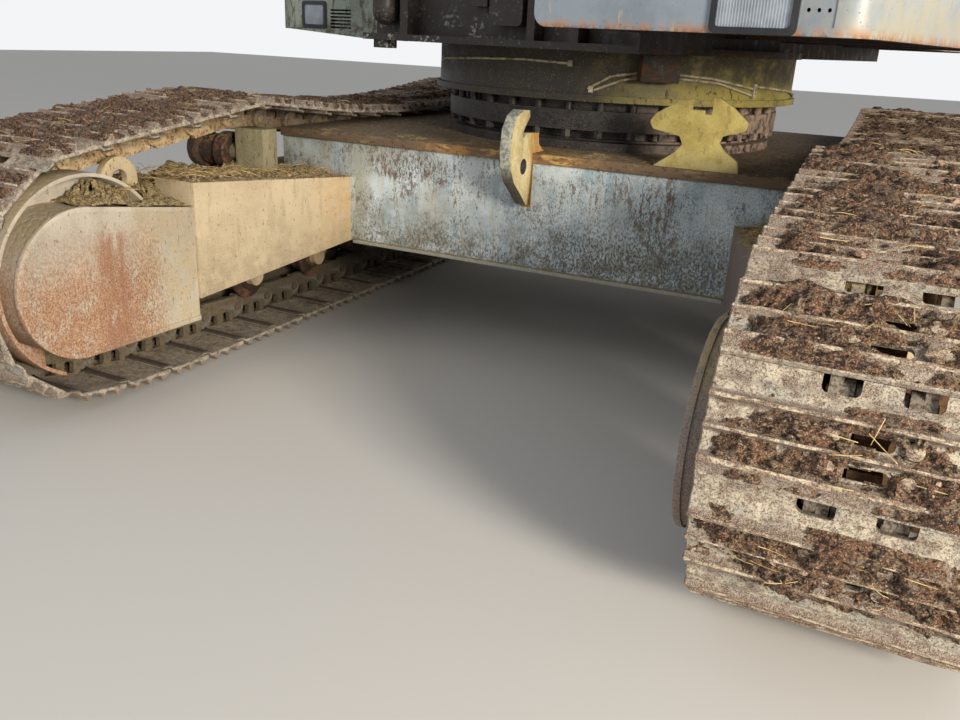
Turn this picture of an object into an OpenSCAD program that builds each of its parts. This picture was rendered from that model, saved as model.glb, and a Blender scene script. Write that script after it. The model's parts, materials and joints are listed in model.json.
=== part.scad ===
// Crawler excavator undercarriage with its slewing ring and slewing platform.
// X is across the machine, Y along it (sprockets at -Y, idlers at +Y), Z is up from the ground.
// The origin is on the ground under the slewing axis.

/* [Track] */
// Distance between the centre lines of the two tracks
track_gauge = 2680; // [2500:10:2900]
// Width of one track shoe
shoe_w = 600; // [500:10:650]
// Chain pitch, pin to pin
pitch = 203; // [195:1:212]
// Nominal distance between sprocket and idler axles
wheelbase = 4240; // [4100:10:4500]
// Thickness of a shoe's plate
shoe_t = 11; // [8:1:14]
// Height of the three grousers of a shoe
grouser_h = 26; // [18:1:34]
// How far the chain has moved round, as a share of its pitch
chain_phase = 0.55; // [0:0.05:0.95]
// Height of a link from its pins out to the shoe
link_out = 62; // [54:1:66]
// Height of a link from its pins in to its rail
link_in = 50; // [46:1:54]
// Distance of each rail's middle from the chain's middle
rail_off = 70; // [64:1:76]
// Width of one rail of the chain
rail_w = 46; // [36:1:54]

/* [Wheels] */
// Teeth of the sprocket, of which every second one meets a pin
sprocket_teeth = 21; // [19:2:23]
// Height of the sprocket's axle above the ground
sprocket_z = 466; // [460:2:480]
// Height of the idler's axle above the ground
idler_z = 456; // [450:2:480]
// Tread radius of a track roller
roller_r = 85; // [78:1:90]
// Track rollers on each side
roller_n = 8; // [6:1:9]
// Distance between the first and the last track roller
roller_span = 3240; // [3000:20:3300]
// Tread radius of a carrier roller
carrier_r = 79; // [70:1:84]
// Distance of each carrier roller from the slewing axis, along the machine
carrier_y = 1186; // [1000:10:1300]
// Height of the carrier rollers' axles above the ground
carrier_z = 776; // [770:2:790]
// How far the upper run hangs below its rollers at mid span
chain_sag = 85; // [60:1:90]

/* [Track frame] */
// Width of the track frame's box
frame_w = 330; // [280:5:360]
// Height of the track frame's underside
frame_z0 = 346; // [344:1:352]
// Height of the track frame's ridge
frame_z1 = 690; // [680:1:695]
// Width of the flat ridge on top of the track frame
ridge_w = 130; // [90:5:180]

/* [Centre frame] */
// Distance of the cross beam's outer webs from the slewing axis
beam_y = 950; // [900:5:1000]
// Height of the centre frame's underside
beam_z0 = 420; // [390:5:450]
// Height of the top of the cross beam's webs
beam_z1 = 832; // [820:2:840]
// Thickness of the centre frame's top plate
top_t = 36; // [20:1:40]
// Overhang of the top and bottom plates past the webs
plate_lip = 18; // [10:1:24]
// Distance of a leg's inner face from the middle, at the cross beam
leg_x_in = 800; // [740:5:860]
// Distance of a leg's inner face from the middle, at its outer end
leg_x_out = 985; // [960:5:1010]
// Distance of a leg's outer end from the slewing axis, along the machine
leg_y = 1705; // [1660:5:1740]

/* [Slewing ring] */
// Radius of the joint between the inner and the outer race
race_r = 650; // [620:5:670]
// Width of the outer race, across its section
race_w = 100; // [80:5:110]
// Height of the slewing ring's seat
seat_z = 909; // [900:1:915]
// Bolts round the slewing ring
ring_bolts = 36; // [24:4:48]
// Radius of the drum under the platform
drum_r = 800; // [780:5:815]

/* [Platform] */
// How far the platform is slewed from straight, in degrees
slew_rest = -12; // [-14:1:0]
// Height of the platform's centre plate
deck_z0 = 1244; // [1236:2:1244]
// Height of the underside of the cab side's bay
bay_z0 = 1310; // [1300:2:1320]
// Height of the underside of the far side's bay
far_z0 = 1270; // [1264:2:1280]
// Height of the side bays' frames, up to the deck
bay_h = 230; // [200:5:250]
// Distance of the cab side's front from the slewing axis
front_y = 1450; // [1400:10:1480]
// Distance of the far side's front from the slewing axis
far_y = 730; // [700:10:780]
// Distance of the platform's rear from the slewing axis
rear_y = 1930; // [1900:10:1950]
// Half the platform's width
plat_x = 1500; // [1470:5:1510]
// Half width of the cab side's rear part, behind the step
step_x = 1200; // [1150:10:1230]
// Distance of that step behind the slewing axis
step_y = 600; // [500:10:650]
// Radius of the boom foot's bores
boom_bore_r = 45; // [35:1:55]

/* [Hidden] */
$fn = 64;
eps = 0.01;

// Chain and wheels
track_x = track_gauge / 2;
pitch_angle = 720 / sprocket_teeth;
sprocket_r = pitch / (2 * sin(pitch_angle / 2));
carrier_gap = 14;
seat_gap = 0.3;
idler_r = sprocket_r * cos(pitch_angle / 2) - link_in - seat_gap;
shoe_out = link_out + shoe_t;
tip_out = shoe_out + grouser_h;
ground_pin_z = tip_out;
roller_z = ground_pin_z + link_in + roller_r + seat_gap;
carrier_pin_z = carrier_z + carrier_r + link_in + carrier_gap;
// The chain leaves the ground a half link past the last roller
lift_y = roller_span / 2 + 110;
arc_step = pitch_angle / 8;
sag_steps = 12;

// Angle of the point where a line from p touches the circle round c, on the side that sign gives
function touch(c, r, p, sign) =
    atan2(p[1] - c[1], p[0] - c[0]) + sign * acos(r / norm(p - c));
function on_circle(c, r, a) = [c[0] + r * cos(a), c[1] + r * sin(a)];
// Points on an arc that runs clockwise from a0 down to a1
function arc_points(c, r, a0, a1) =
    let (n = ceil((a0 - a1) / arc_step))
    [for (i = [0:n]) on_circle(c, r, a0 - (a0 - a1) * i / n)];
function running_sum(v, i = 0, s = 0) = i == len(v) ? [s] : concat([s], running_sum(v, i + 1, s + v[i]));

// The line of the chain's pins round one side, in Y and Z, for a given wheelbase
function chain_line(base) =
    let (
        s_c = [-base / 2, sprocket_z],
        i_c = [base / 2, idler_z],
        r0 = [-lift_y, ground_pin_z],
        r1 = [lift_y, ground_pin_z],
        c0 = [-carrier_y, carrier_pin_z],
        c1 = [carrier_y, carrier_pin_z],
        s_low = touch(s_c, sprocket_r, r0, -1) + 360,
        s_top = touch(s_c, sprocket_r, c0, 1),
        i_top = touch(i_c, sprocket_r, c1, -1),
        i_low = touch(i_c, sprocket_r, r1, 1) - 360
    )
    [
        arc_points(s_c, sprocket_r, s_low, s_top),
        [for (i = [0:sag_steps]) let (t = 2 * i / sag_steps - 1)
            [t * carrier_y, carrier_pin_z - chain_sag * (1 - t * t)]],
        arc_points(i_c, sprocket_r, i_top, i_low < -180 ? i_low + 360 : i_low),
        [r1, r0]
    ];
function flat(parts) = [for (p = parts) for (q = p) q];
// Length along the chain: on the wheels a link spans its chord and not the arc
chord_share = pitch / (sprocket_r * pitch_angle * PI / 180);
function steps(parts) =
    let (
        on_wheel = [for (k = [0:len(parts) - 1]) for (i = [0:len(parts[k]) - 1]) (k == 0 || k == 2) && i > 0],
        p = flat(parts)
    )
    [for (i = [0:len(p) - 1]) let (j = (i + 1) % len(p))
        norm(p[j] - p[i]) * (on_wheel[j] ? chord_share : 1)];
function total(v) = v * [for (x = v) 1];

nominal_length = total(steps(chain_line(wheelbase)));
link_n = round(nominal_length / pitch);
// The tensioner moves the idler until the chain closes on whole links
axle_y = wheelbase / 2 + (link_n * pitch - nominal_length) / 4;
line_parts = chain_line(2 * axle_y);
line_pts = flat(line_parts);
line_sums = running_sum(steps(line_parts));
link_step = line_sums[len(line_pts)] / link_n;
function find_step(s, i = 0) = line_sums[i + 1] >= s || i + 1 >= len(line_pts) ? i : find_step(s, i + 1);
function line_at(s) =
    let (i = find_step(s), j = (i + 1) % len(line_pts), d = line_sums[i + 1] - line_sums[i])
    line_pts[i] + (line_pts[j] - line_pts[i]) * (s - line_sums[i]) / max(d, eps);
pins = [for (k = [0:link_n - 1]) line_at((k + chain_phase) * link_step)];
// A point of link k: u along the link from its middle, w outwards from its pins
function link_point(k, u, w) =
    let (a = pins[k], b = pins[(k + 1) % link_n], t = (b - a) / norm(b - a), m = (a + b) / 2)
    [m[0] + t[0] * u - t[1] * w, m[1] + t[1] * u + t[0] * w];
sprocket_phase = atan2(pins[0][1] - sprocket_z, pins[0][0] + axle_y);

// Shoe profile in whole link coordinates: columns are u as a share of the pitch, and height above the plate
shoe_profile = [
    [-0.475, 0.1], [-0.310, 1], [-0.255, 0.06], [-0.045, 0.06], [0, 1],
    [0.045, 0.06], [0.255, 0.06], [0.310, 1], [0.365, 0]
];

// Track frame and legs
leg_z0_out = 300;
leg_z1_out = 735;
leg_z1_in = 690;
// Height of a leg's top at a distance y from the slewing axis
function leg_top(y) = leg_z1_in + (leg_z1_out - leg_z1_in) * (y - beam_y) / (leg_y - beam_y);
frame_x0 = track_x - frame_w / 2;
frame_end = axle_y - sprocket_r - 60;
flange_in_x = track_x - frame_w / 2 + 40;
guard_x = leg_x_out + 7;
guard_r = 240;
guard_y = axle_y + 98;
guard_z = sprocket_z + 4;
guard_wall = 12;
guard_depth = frame_x0 - guard_x - seat_gap;
guard_end_z1 = 640;
guard_end_z0 = 222;
band_r = sprocket_r - 5;
band_shift = 20;
band_w = 110;
rim_w = 16;
rim_out = 6;

slot_x = 130;
slot_l = 420;

// Slewing ring
race_out_r = race_r + race_w;
race_z0 = seat_z + 37;
race_z1 = race_z0 + 76;
flange_z = 1060;
flange_t = 25;
race_gap = 0.5;
well_r = race_r - 110;
tooth_h = 26;
tooth_tip_r = well_r + 20;
drive_y = 478;
pinion_r = tooth_tip_r - drive_y - 7;

// Platform
web_x = 400;
web_t = 40;
plate_x0 = -630;
plate_x1 = 660;
plate_y0 = -1000;
plate_t = 25;
side_t = 12;
skin_t = 6;
channel_t = 10;
corner_r = 90;
panel_in_x = 542;
lamp_x = 1112;
lamp_z = bay_z0 + 15;
lamp_w = 199;
lamp_h = 150;
far_lamp_x = 1157;
far_lamp_z = far_z0 + 22;
far_lamp_w = 138;
far_lamp_h = 90;
bezel_w = 14;
bezel_t = 8;
wall_y = -930;

// Shape aids
module along_x(w) { rotate([90, 0, 90]) linear_extrude(height = w, center = true) children(); }
module along_y(w) { rotate([90, 0, 0]) linear_extrude(height = w, center = true) children(); }
module rod_x(r, l) { rotate([0, 90, 0]) cylinder(r = r, h = l, center = true); }
module ring(r1, r0, h) { difference() { cylinder(r = r1, h = h); translate([0, 0, -1]) cylinder(r = r0, h = h + 2); } }
module left() { mirror([1, 0, 0]) children(); }
module slewed() { rotate([0, 0, slew_rest]) children(); }

// Centre frame: a box between the tracks with four legs that spread to the track frames
module leg_solid() {
    intersection() {
        linear_extrude(height = 2000)
            polygon([[leg_x_in, -beam_y + eps], [leg_x_out, -leg_y], [frame_x0, -leg_y], [frame_x0, -beam_y + eps]]);
        translate([track_x / 2, 0, 0]) along_x(track_gauge)
            polygon([[-leg_y, leg_z0_out], [-beam_y + eps, beam_z0], [-beam_y + eps, leg_z1_in], [-leg_y, leg_z1_out]]);
    }
}
module centre_frame() {
    color("#8f9a96") difference() {
        union() {
            translate([-frame_x0, -beam_y, beam_z0]) cube([2 * frame_x0, 2 * beam_y, beam_z1 - beam_z0]);
            translate([-leg_x_in, -beam_y - plate_lip, beam_z0 - 16])
                cube([2 * leg_x_in, 2 * (beam_y + plate_lip), 16]);
            for (sx = [0, 1], sy = [0, 1]) mirror([sx, 0, 0]) mirror([0, sy, 0]) leg_solid();
        }
        translate([0, 0, beam_z0 + 20]) cylinder(r = well_r, h = 1000);
        translate([0, 0, beam_z0 - 50]) cylinder(r = 260, h = 200);
    }
}
module centre_top_plate() {
    color("#6f6a5c") difference() {
        translate([-frame_x0, -beam_y - plate_lip, beam_z1])
            cube([2 * frame_x0, 2 * (beam_y + plate_lip), top_t]);
        translate([0, 0, beam_z1 - 1]) cylinder(r = well_r, h = top_t + 2);
    }
}
module ring_seat() {
    color("#5b5a55") translate([0, 0, beam_z1 + top_t]) {
        ring(race_out_r - 16, well_r, seat_z - beam_z1 - top_t - 8);
        ring(race_r + 26, well_r, seat_z - beam_z1 - top_t);
    }
}
module inner_race() {
    teeth = 72;
    color("#4c4843") translate([0, 0, seat_z]) difference() {
        cylinder(r = race_r, h = race_z1 - seat_z + 12);
        translate([0, 0, -1]) linear_extrude(height = 200) polygon([
            for (i = [0:teeth - 1]) for (c = [[0, 1], [0.2, 0], [0.5, 0], [0.7, 1]])
                let (a = 360 * (i + c[0]) / teeth, r = tooth_tip_r + tooth_h * c[1]) [r * cos(a), r * sin(a)]
        ]);
    }
}
module swivel_joint() {
    color("#55534e") {
        translate([0, 0, beam_z0]) cylinder(r = 110, h = 560);
        translate([0, 0, beam_z0 + 560]) cylinder(r = 84, h = 120);
        difference() {
            translate([-320, -30, beam_z0 + 20 + seat_gap]) cube([640, 60, 24]);
            translate([0, 0, beam_z0 - 1]) cylinder(r = 100, h = 60);
        }
    }
}

// Slew lock plate: a mushroom outline with a stepped notch on top and a waist
module slew_lock_plate() {
    lock_x = 626;
    lock_t = 20;
    notch_w = 72;
    color("#b9a54a") translate([lock_x, -beam_y + lock_t / 2, beam_z1 + top_t]) along_y(lock_t) difference() {
        intersection() { translate([-200, 0]) square([400, 300]); offset(r = 14) offset(delta = -26) offset(r = 12) polygon([
            [-142, 0], [-66, 54], [-44, 84], [-58, 110], [-96, 118], [-155, 128], [-169, 152], [-149, 182],
            [-84, 220], [-27, 236], [46, 246], [66, 246], [116, 218], [171, 172], [165, 142], [122, 132],
            [90, 120], [82, 96], [102, 72], [150, 40], [160, 0], [150, -60], [-130, -60]
        ]); }
        translate([-26, 202]) square([notch_w, 60]);
        translate([-26 + notch_w * 0.62, 190]) square([notch_w * 0.38, 60]);
    }
}

// Tow lug: a thick plate across the middle of the cross beam, with a bore and a horn on top
module tow_lug_shape() {
    difference() {
        union() {
            polygon([
                [plate_lip, -196], [plate_lip + 38, -192], [plate_lip + 92, -146], [plate_lip + 160, -96],
                [plate_lip + 198, -40], [plate_lip + 206, 30], [plate_lip + 196, 100], [plate_lip + 160, 144],
                [plate_lip + 104, 164], [plate_lip + 52, 160], [plate_lip + 44, 138], [plate_lip + 84, 104],
                [plate_lip + 108, 78], [plate_lip + 94, 62], [plate_lip + 74, 80], [plate_lip - 50, 72],
                [plate_lip - 58, 30], [plate_lip - 110, eps], [plate_lip, eps]
            ]);
            polygon([[plate_lip + 1, -196], [eps, -210], [eps, -top_t - 8], [plate_lip + 1, -top_t - 8]]);
        }
        translate([plate_lip + 82, -42]) circle(r = 28);
    }
}
module tow_lug(end) {
    lug_t = 44;
    color("#b7a468") mirror([0, end > 0 ? 0 : 1, 0])
        translate([0, beam_y, beam_z1 + top_t]) difference() {
            along_x(lug_t) tow_lug_shape();
            translate([-lug_t, -200, -top_t - eps]) cube([2 * lug_t, 200 + plate_lip + eps, top_t + eps]);
        }
}

// Track frame with its final drive flange, lifting eye and the tensioner's slot, right side
module track_frame() {
    half = frame_w / 2;
    eye_r = 80;
    eye_h = 74;
    end_z1 = sprocket_z + 204;
    color("#a39a83") {
        difference() {
            translate([track_x, 0, 0]) along_y(2 * frame_end)
                polygon([
                    [-half, frame_z0], [half, frame_z0], [half, frame_z1 - 80], [ridge_w / 2, frame_z1],
                    [-ridge_w / 2, frame_z1], [-half, frame_z1]
                ]);
            translate([track_x - slot_x, frame_end - slot_l, frame_z0 - 10])
                cube([2 * slot_x, slot_l + 100, 230]);
        }
        difference() {
            union() {
                translate([flange_in_x - 20, -axle_y, sprocket_z]) rod_x(235, 40);
                translate([flange_in_x - 40, -axle_y, frame_z0])
                    cube([40, axle_y - frame_end + 40, end_z1 - frame_z0]);
            }
            translate([flange_in_x, -axle_y, sprocket_z]) rod_x(160, 100);
        }
        translate([flange_in_x - 20, -axle_y + 244, end_z1]) along_x(30) difference() {
            union() {
                translate([0, eye_h]) circle(r = eye_r);
                translate([-eye_r, -10]) square([2 * eye_r, eye_h + 10]);
            }
            translate([0, eye_h]) circle(r = eye_r - 46);
        }
    }
}

// Teardrop guard round the travel motor, open towards the track frame
module guard_outline(inset) {
    hull() {
        translate([-guard_y, guard_z]) circle(r = guard_r - inset, $fn = 96);
        polygon([[-leg_y - 0.3, guard_end_z0 + inset], [-leg_y - 0.3, guard_end_z1 - inset],
            [-leg_y - 12, guard_end_z1 - inset], [-leg_y - 12, guard_end_z0 + inset]]);
    }
}
module motor_guard() {
    color("#a8876a") {
        translate([guard_x + guard_depth / 2, 0, 0]) difference() {
            along_x(guard_depth) guard_outline(0);
            along_x(guard_depth + 10) guard_outline(guard_wall);
        }
        translate([guard_x + 4 + guard_wall / 2, 0, 0]) along_x(guard_wall) guard_outline(guard_wall - 1);
        translate([guard_x + rim_w / 2, 0, 0]) along_x(rim_w) difference() {
            guard_outline(-rim_out);
            guard_outline(1);
        }
        translate([guard_x + guard_depth - band_w / 2, 0, 0]) along_x(band_w) difference() {
            translate([-axle_y - band_shift, sprocket_z]) circle(r = band_r, $fn = 96);
            translate([-axle_y - band_shift, sprocket_z]) circle(r = band_r - guard_wall, $fn = 96);
            guard_outline(1);
            band_end();
        }
        translate([guard_x + guard_depth - guard_wall / 2, 0, 0]) along_x(guard_wall) difference() {
            translate([-axle_y - band_shift, sprocket_z]) circle(r = band_r - guard_wall / 2, $fn = 96);
            guard_outline(1);
            band_end();
        }
    }
}
// The band stops under the guard, where the guard comes nearest to it
module band_end() {
    translate([-guard_y - 60, sprocket_z - 2 * band_r]) square([3 * band_r, 2 * band_r]);
}
module final_drive() {
    cover_x = guard_x + 4 + guard_wall;
    hub_x = track_x - 31;
    color("#9a9077") translate([0, -axle_y, sprocket_z]) {
        translate([(cover_x + flange_in_x) / 2, 0, 0]) rod_x(118, flange_in_x - cover_x - 2 * seat_gap);
        translate([flange_in_x - 20, 0, 0]) rod_x(160 - seat_gap, 44);
        translate([flange_in_x + 15 + seat_gap, 0, 0]) rod_x(205, 30);
        translate([(flange_in_x + hub_x) / 2, 0, 0]) rod_x(190, hub_x - flange_in_x - 2 * seat_gap);
        translate([hub_x + 114, 0, 0]) rod_x(172 - seat_gap, 230);
        translate([hub_x + 230, 0, 0]) rod_x(120, 30);
    }
}
module sprocket() {
    color("#7d6a52") translate([track_x, -axle_y, sprocket_z]) rotate([sprocket_phase, 0, 0]) difference() {
        rod_x(sprocket_r + 14, 62);
        rod_x(172, 100);
        for (i = [0:sprocket_teeth - 1]) rotate([i * 360 / sprocket_teeth, 0, 0])
            translate([0, sprocket_r, 0]) rod_x(33, 100);
    }
}
module idler() {
    color("#6e6253") translate([track_x, axle_y, idler_z]) difference() {
        rotate([0, 90, 0]) rotate_extrude() polygon([
            [52, -70], [95, -70], [110, -40], [idler_r - 60, -36], [idler_r - 30, -95], [idler_r, -95],
            [idler_r, -43], [idler_r + 22, -36], [idler_r + 22, 36], [idler_r, 43], [idler_r, 95],
            [idler_r - 30, 95], [idler_r - 60, 36], [110, 40], [95, 70], [52, 70]
        ]);
        for (i = [0:4]) rotate([i * 72, 0, 0]) translate([0, 165, 0]) rod_x(34, 200);
    }
}
module idler_yoke() {
    arm_y = frame_end - 230;
    color("#8a8069") {
        translate([track_x, axle_y, idler_z]) rod_x(52 - seat_gap, 268);
        for (s = [-1, 1]) translate([track_x + s * 112, axle_y, idler_z])
            cube([30, 150, 150], center = true);
        for (s = [-1, 1]) translate([track_x + s * (slot_x - seat_gap - 15), (axle_y + arm_y) / 2, idler_z])
            cube([30, axle_y - arm_y, 90], center = true);
        translate([track_x, frame_end - 130, idler_z]) cube([2 * slot_x - 40, 60, 120], center = true);
        translate([track_x, frame_end - slot_l + seat_gap, idler_z]) rotate([-90, 0, 0]) cylinder(r = 55, h = 280);
    }
}
module carrier_rollers() {
    color("#4f3c2e") for (sy = [-1, 1]) translate([track_x, sy * carrier_y, carrier_z])
        rotate([0, 90, 0]) rotate_extrude() polygon([
            [0, -100], [carrier_r - 8, -100], [carrier_r, -94], [carrier_r, -48], [carrier_r - 14, -42],
            [carrier_r - 14, 42], [carrier_r, 48], [carrier_r, 94], [carrier_r - 8, 100], [0, 100]
        ]);
}
module carrier_brackets() {
    bracket_w = 142;
    x1 = track_x - 142;
    y0 = carrier_y - 45;
    y1 = carrier_y + 45;
    color("#a59b80") for (sy = [0, 1]) mirror([0, sy, 0]) {
        translate([(x1 - bracket_w + frame_x0) / 2, 0, 0]) along_x(frame_x0 - x1 + bracket_w)
            polygon([[y0, leg_top(y0) + seat_gap], [y1, leg_top(y1) + seat_gap], [y1, 880], [y0, 880]]);
        translate([frame_x0, y0, frame_z1]) cube([x1 - frame_x0, 90, 880 - frame_z1]);
        translate([frame_x0 - 1, y0, leg_top(y1) + 1]) cube([2, 90, 879 - leg_top(y1)]);
        translate([x1 + 21 - seat_gap, carrier_y, carrier_z]) rod_x(38, 42);
    }
}
module track_rollers() {
    color("#5a4a3b") for (i = [0:roller_n - 1])
        translate([track_x, -roller_span / 2 + i * roller_span / (roller_n - 1), roller_z])
            rotate([0, 90, 0]) rotate_extrude() polygon([
                [0, -128], [62, -128], [66, -118], [roller_r + 18, -112], [roller_r + 16, -98], [roller_r, -94],
                [roller_r, -46], [roller_r - 12, -40], [roller_r - 12, 40], [roller_r, 46], [roller_r, 94],
                [roller_r + 16, 98], [roller_r + 18, 112], [66, 118], [62, 128], [0, 128]
            ]);
}
module roller_mounts() {
    color("#7a6f5a") for (i = [0:roller_n - 1])
        translate([track_x, -roller_span / 2 + i * roller_span / (roller_n - 1), 0]) for (s = [-1, 1])
            translate([s * (128 + seat_gap + 16), 0, 0]) along_x(32) hull() {
                translate([0, roller_z]) circle(r = 42, $fn = 32);
                translate([-58, frame_z0 - 12]) square([116, 12 - eps]);
            }
}

// One track: shoes with grousers on a two-railed chain, one closed loop
module track() {
    outer = [for (k = [0:link_n - 1]) for (c = shoe_profile)
        link_point(k, c[0] * pitch, shoe_out + c[1] * grouser_h)];
    under = [for (k = [0:link_n - 1]) link_point(k, -0.5 * pitch, link_out)];
    rail = [for (k = [0:link_n - 1]) link_point(k, -0.5 * pitch, -link_in)];
    color("#8b6f57") translate([track_x, 0, 0]) {
        along_x(shoe_w) difference() { polygon(outer); polygon(under); }
        for (s = [-1, 1]) translate([s * rail_off, 0, 0])
            along_x(rail_w) difference() { polygon(under); polygon(rail); }
    }
}

// Slewing ring's outer race with its two rows of bolts, and the drum above it
module outer_race() {
    color("#57483f") translate([0, 0, race_z0]) {
        ring(race_out_r, race_r + race_gap, race_z1 - race_z0);
        translate([0, 0, race_z1 - race_z0]) ring(race_out_r - 40, race_r + 30, flange_z - race_z1);
    }
}
module ring_bolt_rows() {
    color("#4a443c") for (i = [0:ring_bolts - 1]) rotate([0, 0, (i + 0.5) * 360 / ring_bolts]) {
        translate([race_out_r - 20, 0, race_z1]) cylinder(r = 16, h = flange_z - race_z1);
        translate([race_out_r - 20, 0, race_z0 - 28]) cylinder(r = 18, h = 28, $fn = 6);
    }
}
module turntable_drum() {
    color("#4d4a42") slewed() translate([0, 0, flange_z]) {
        ring(drum_r + 16, race_r - 20, flange_t);
        translate([0, 0, flange_t]) ring(drum_r, drum_r - 22, deck_z0 - flange_z - flange_t);
    }
}

// Platform: centre weldment, boom foot, side bays and front panels
module platform_centre() {
    w = plate_x1 - plate_x0;
    color("#3e3d3a") slewed() {
        difference() {
            translate([plate_x0, plate_y0, deck_z0]) cube([w, rear_y - plate_y0, plate_t]);
            translate([0, 0, deck_z0 - 1]) cylinder(r = 240, h = 50);
            translate([0, drive_y, deck_z0 - 1]) cylinder(r = 150, h = 50);
        }
        difference() {
            translate([0, 0, deck_z0]) cylinder(r = drum_r + 20, h = plate_t);
            translate([plate_x0, -1000, deck_z0 - 1]) cube([w, 2000, 50]);
        }
        translate([plate_x0 + side_t + seat_gap, rear_y - 25, deck_z0 + plate_t - 1])
            cube([w - 2 * side_t - 2 * seat_gap, 25, far_z0 + bay_h - deck_z0 - plate_t]);
        translate([0, wall_y, deck_z0 + plate_t - 1]) {
            translate([web_x + 20 + seat_gap, 0, 0]) cube([plate_x1 - side_t - 2 * seat_gap - web_x - 20, 20, 250]);
            translate([plate_x0 + side_t + seat_gap, 0, 0])
                cube([-plate_x0 - side_t - 2 * seat_gap - web_x - 20, 20, 200]);
            translate([20 - web_x + seat_gap, 0, 0]) cube([2 * (web_x - 20 - seat_gap), 20, 200]);
        }
        centre_fittings();
    }
}
// What stands before the centre's wall: a round-ended upright, a box, a post and a small block that hangs below
module centre_fittings() {
    upright_r = 52;
    translate([-530, wall_y - upright_r + 12, 1300 + upright_r]) {
        cylinder(r = upright_r, h = 230 - upright_r);
        sphere(r = upright_r);
    }
    translate([20, wall_y - 60, 0]) hull() for (x = [22, 128]) for (z = [1337, 1440])
        translate([x, 31, z]) along_y(62) circle(r = 22);
    translate([194, plate_y0 + 8, deck_z0 + plate_t - 1]) cube([35, wall_y - plate_y0, 200]);
    translate([-83, wall_y - 40, 1380]) cube([76, 41, 62]);
    translate([-577, plate_y0 + 10, 1213]) cube([75, 60, deck_z0 - 1213 + 1]);
}
module boom_foot() {
    color("#3a3936") slewed() for (s = [-1, 1]) translate([s * web_x, 0, deck_z0 + plate_t]) {
        difference() {
            union() {
                along_x(web_t) polygon([
                    [plate_y0, 0], [rear_y - 25 - seat_gap, 0], [rear_y - 25 - seat_gap, 300], [600, 380], [-200, 470],
                    [-420, 620], [-560, 650], [-700, 640], [-900, 420], [plate_y0, 250]
                ]);
                translate([0, -580, 540]) rod_x(95, web_t + 50);
            }
            translate([0, -580, 540]) rod_x(boom_bore_r, web_t + 60);
        }
    }
}
// The area of a side bay, in from its outer edges by i
module bay_area(i, x0, y0, x1, x2, y2) {
    translate([x0, y0 + i]) square([x1 - corner_r - x0, y2 - y0 - 2 * i]);
    translate([x1 - corner_r - 1, y0 + corner_r]) square([corner_r + 1 - i, y2 - y0 - corner_r - i]);
    translate([x1 - corner_r, y0 + corner_r]) circle(r = corner_r - i);
    translate([x0, y2 - i - 1]) square([x2 - i - x0, rear_y - y2 + i + 1]);
}
module side_bay(z0, x0, y0, x1, x2, y2) {
    gap = skin_t + seat_gap;
    for (y = [y0 + gap + 30, -300, 300, y2 - 80]) translate([x0, y, z0]) difference() {
        cube([x1 - gap - 34 - x0, 60, bay_h]);
        translate([-1, channel_t, channel_t]) cube([x1, 60, bay_h - 2 * channel_t]);
    }
    for (y = [1200, rear_y - 60]) translate([x0, y, z0]) difference() {
        cube([x2 - gap - 34 - x0, 60, bay_h]);
        translate([-1, channel_t, channel_t]) cube([x1, 60, bay_h - 2 * channel_t]);
    }
    for (v = [[x1, y0 + corner_r, y2 - gap], [x2, y2 - gap - 60, rear_y]]) difference() {
        translate([v[0] - gap - 35, v[1], z0]) cube([35, v[2] - v[1], bay_h]);
        translate([v[0] - gap - 36, v[1] - 1, z0 + channel_t])
            cube([36 - channel_t, v[2] - v[1] + 2, bay_h - 2 * channel_t]);
    }
    in_y0 = max(y0 + gap, plate_y0);
    translate([x0 - side_t, in_y0, deck_z0 + plate_t])
        cube([side_t, rear_y - in_y0, z0 + bay_h - deck_z0 - plate_t]);
    translate([x0 - side_t, y0 + gap, z0]) cube([side_t, in_y0 - y0 - gap + 1, bay_h]);
}
module platform_side_right() {
    color("#5d574a") slewed() side_bay(bay_z0, plate_x1, -front_y, plat_x, step_x, step_y);
}
module platform_side_left() {
    color("#5d574a") slewed() left() side_bay(far_z0, -plate_x0, -far_y, plat_x, plat_x, rear_y - 200);
}
module panel_skin(z0, x0, y0, x1, x2, y2) {
    translate([0, 0, z0]) linear_extrude(height = bay_h) difference() {
        bay_area(0, x0, y0, x1, x2, y2);
        translate([-seat_gap, 0]) bay_area(skin_t, x0 - 2, y0, x1, x2, y2);
        translate([x0 - 20, rear_y - 5]) square([30, 20]);
    }
}
// A frame of rounded corners round a lamp, at the front of a panel
module bezel(x0, z0, w, h, side = bezel_w) {
    translate([x0, 0, z0]) along_y(bezel_t) difference() {
        translate([-side, -bezel_w]) offset(r = 16) offset(delta = -16) square([w + side + bezel_w, h + 2 * bezel_w]);
        offset(r = 12) offset(delta = -12) square([w, h]);
    }
}
module front_panel_right() {
    holes_x = 1346;
    color("#dcdccf") slewed() {
        difference() {
            union() {
                panel_skin(bay_z0, plate_x1, -front_y, plat_x, step_x, step_y);
                translate([0, -front_y + skin_t / 2, bay_z0]) along_y(skin_t) intersection() {
                    translate([panel_in_x, 0]) offset(r = 42) offset(delta = -42) square([300, bay_h + 80]);
                    translate([panel_in_x, 0]) square([plate_x1 - panel_in_x + 1, bay_h]);
                }
                translate([panel_in_x, -front_y + skin_t - 1, bay_z0 + 42]) cube([skin_t, 60, bay_h - 42]);
            }
            translate([lamp_x, -front_y - 20, lamp_z]) cube([lamp_w, 40, lamp_h]);
            translate([1329, -front_y - 1, bay_z0 + 21]) cube([85, 4, 130]);
            for (i = [0:2]) translate([holes_x + i * 25, -front_y, bay_z0 + 60]) along_y(30) circle(r = 5);
        }
        translate([0, -front_y - bezel_t / 2 + 0.5, 0]) bezel(lamp_x, lamp_z, lamp_w, lamp_h);
    }
}
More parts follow.
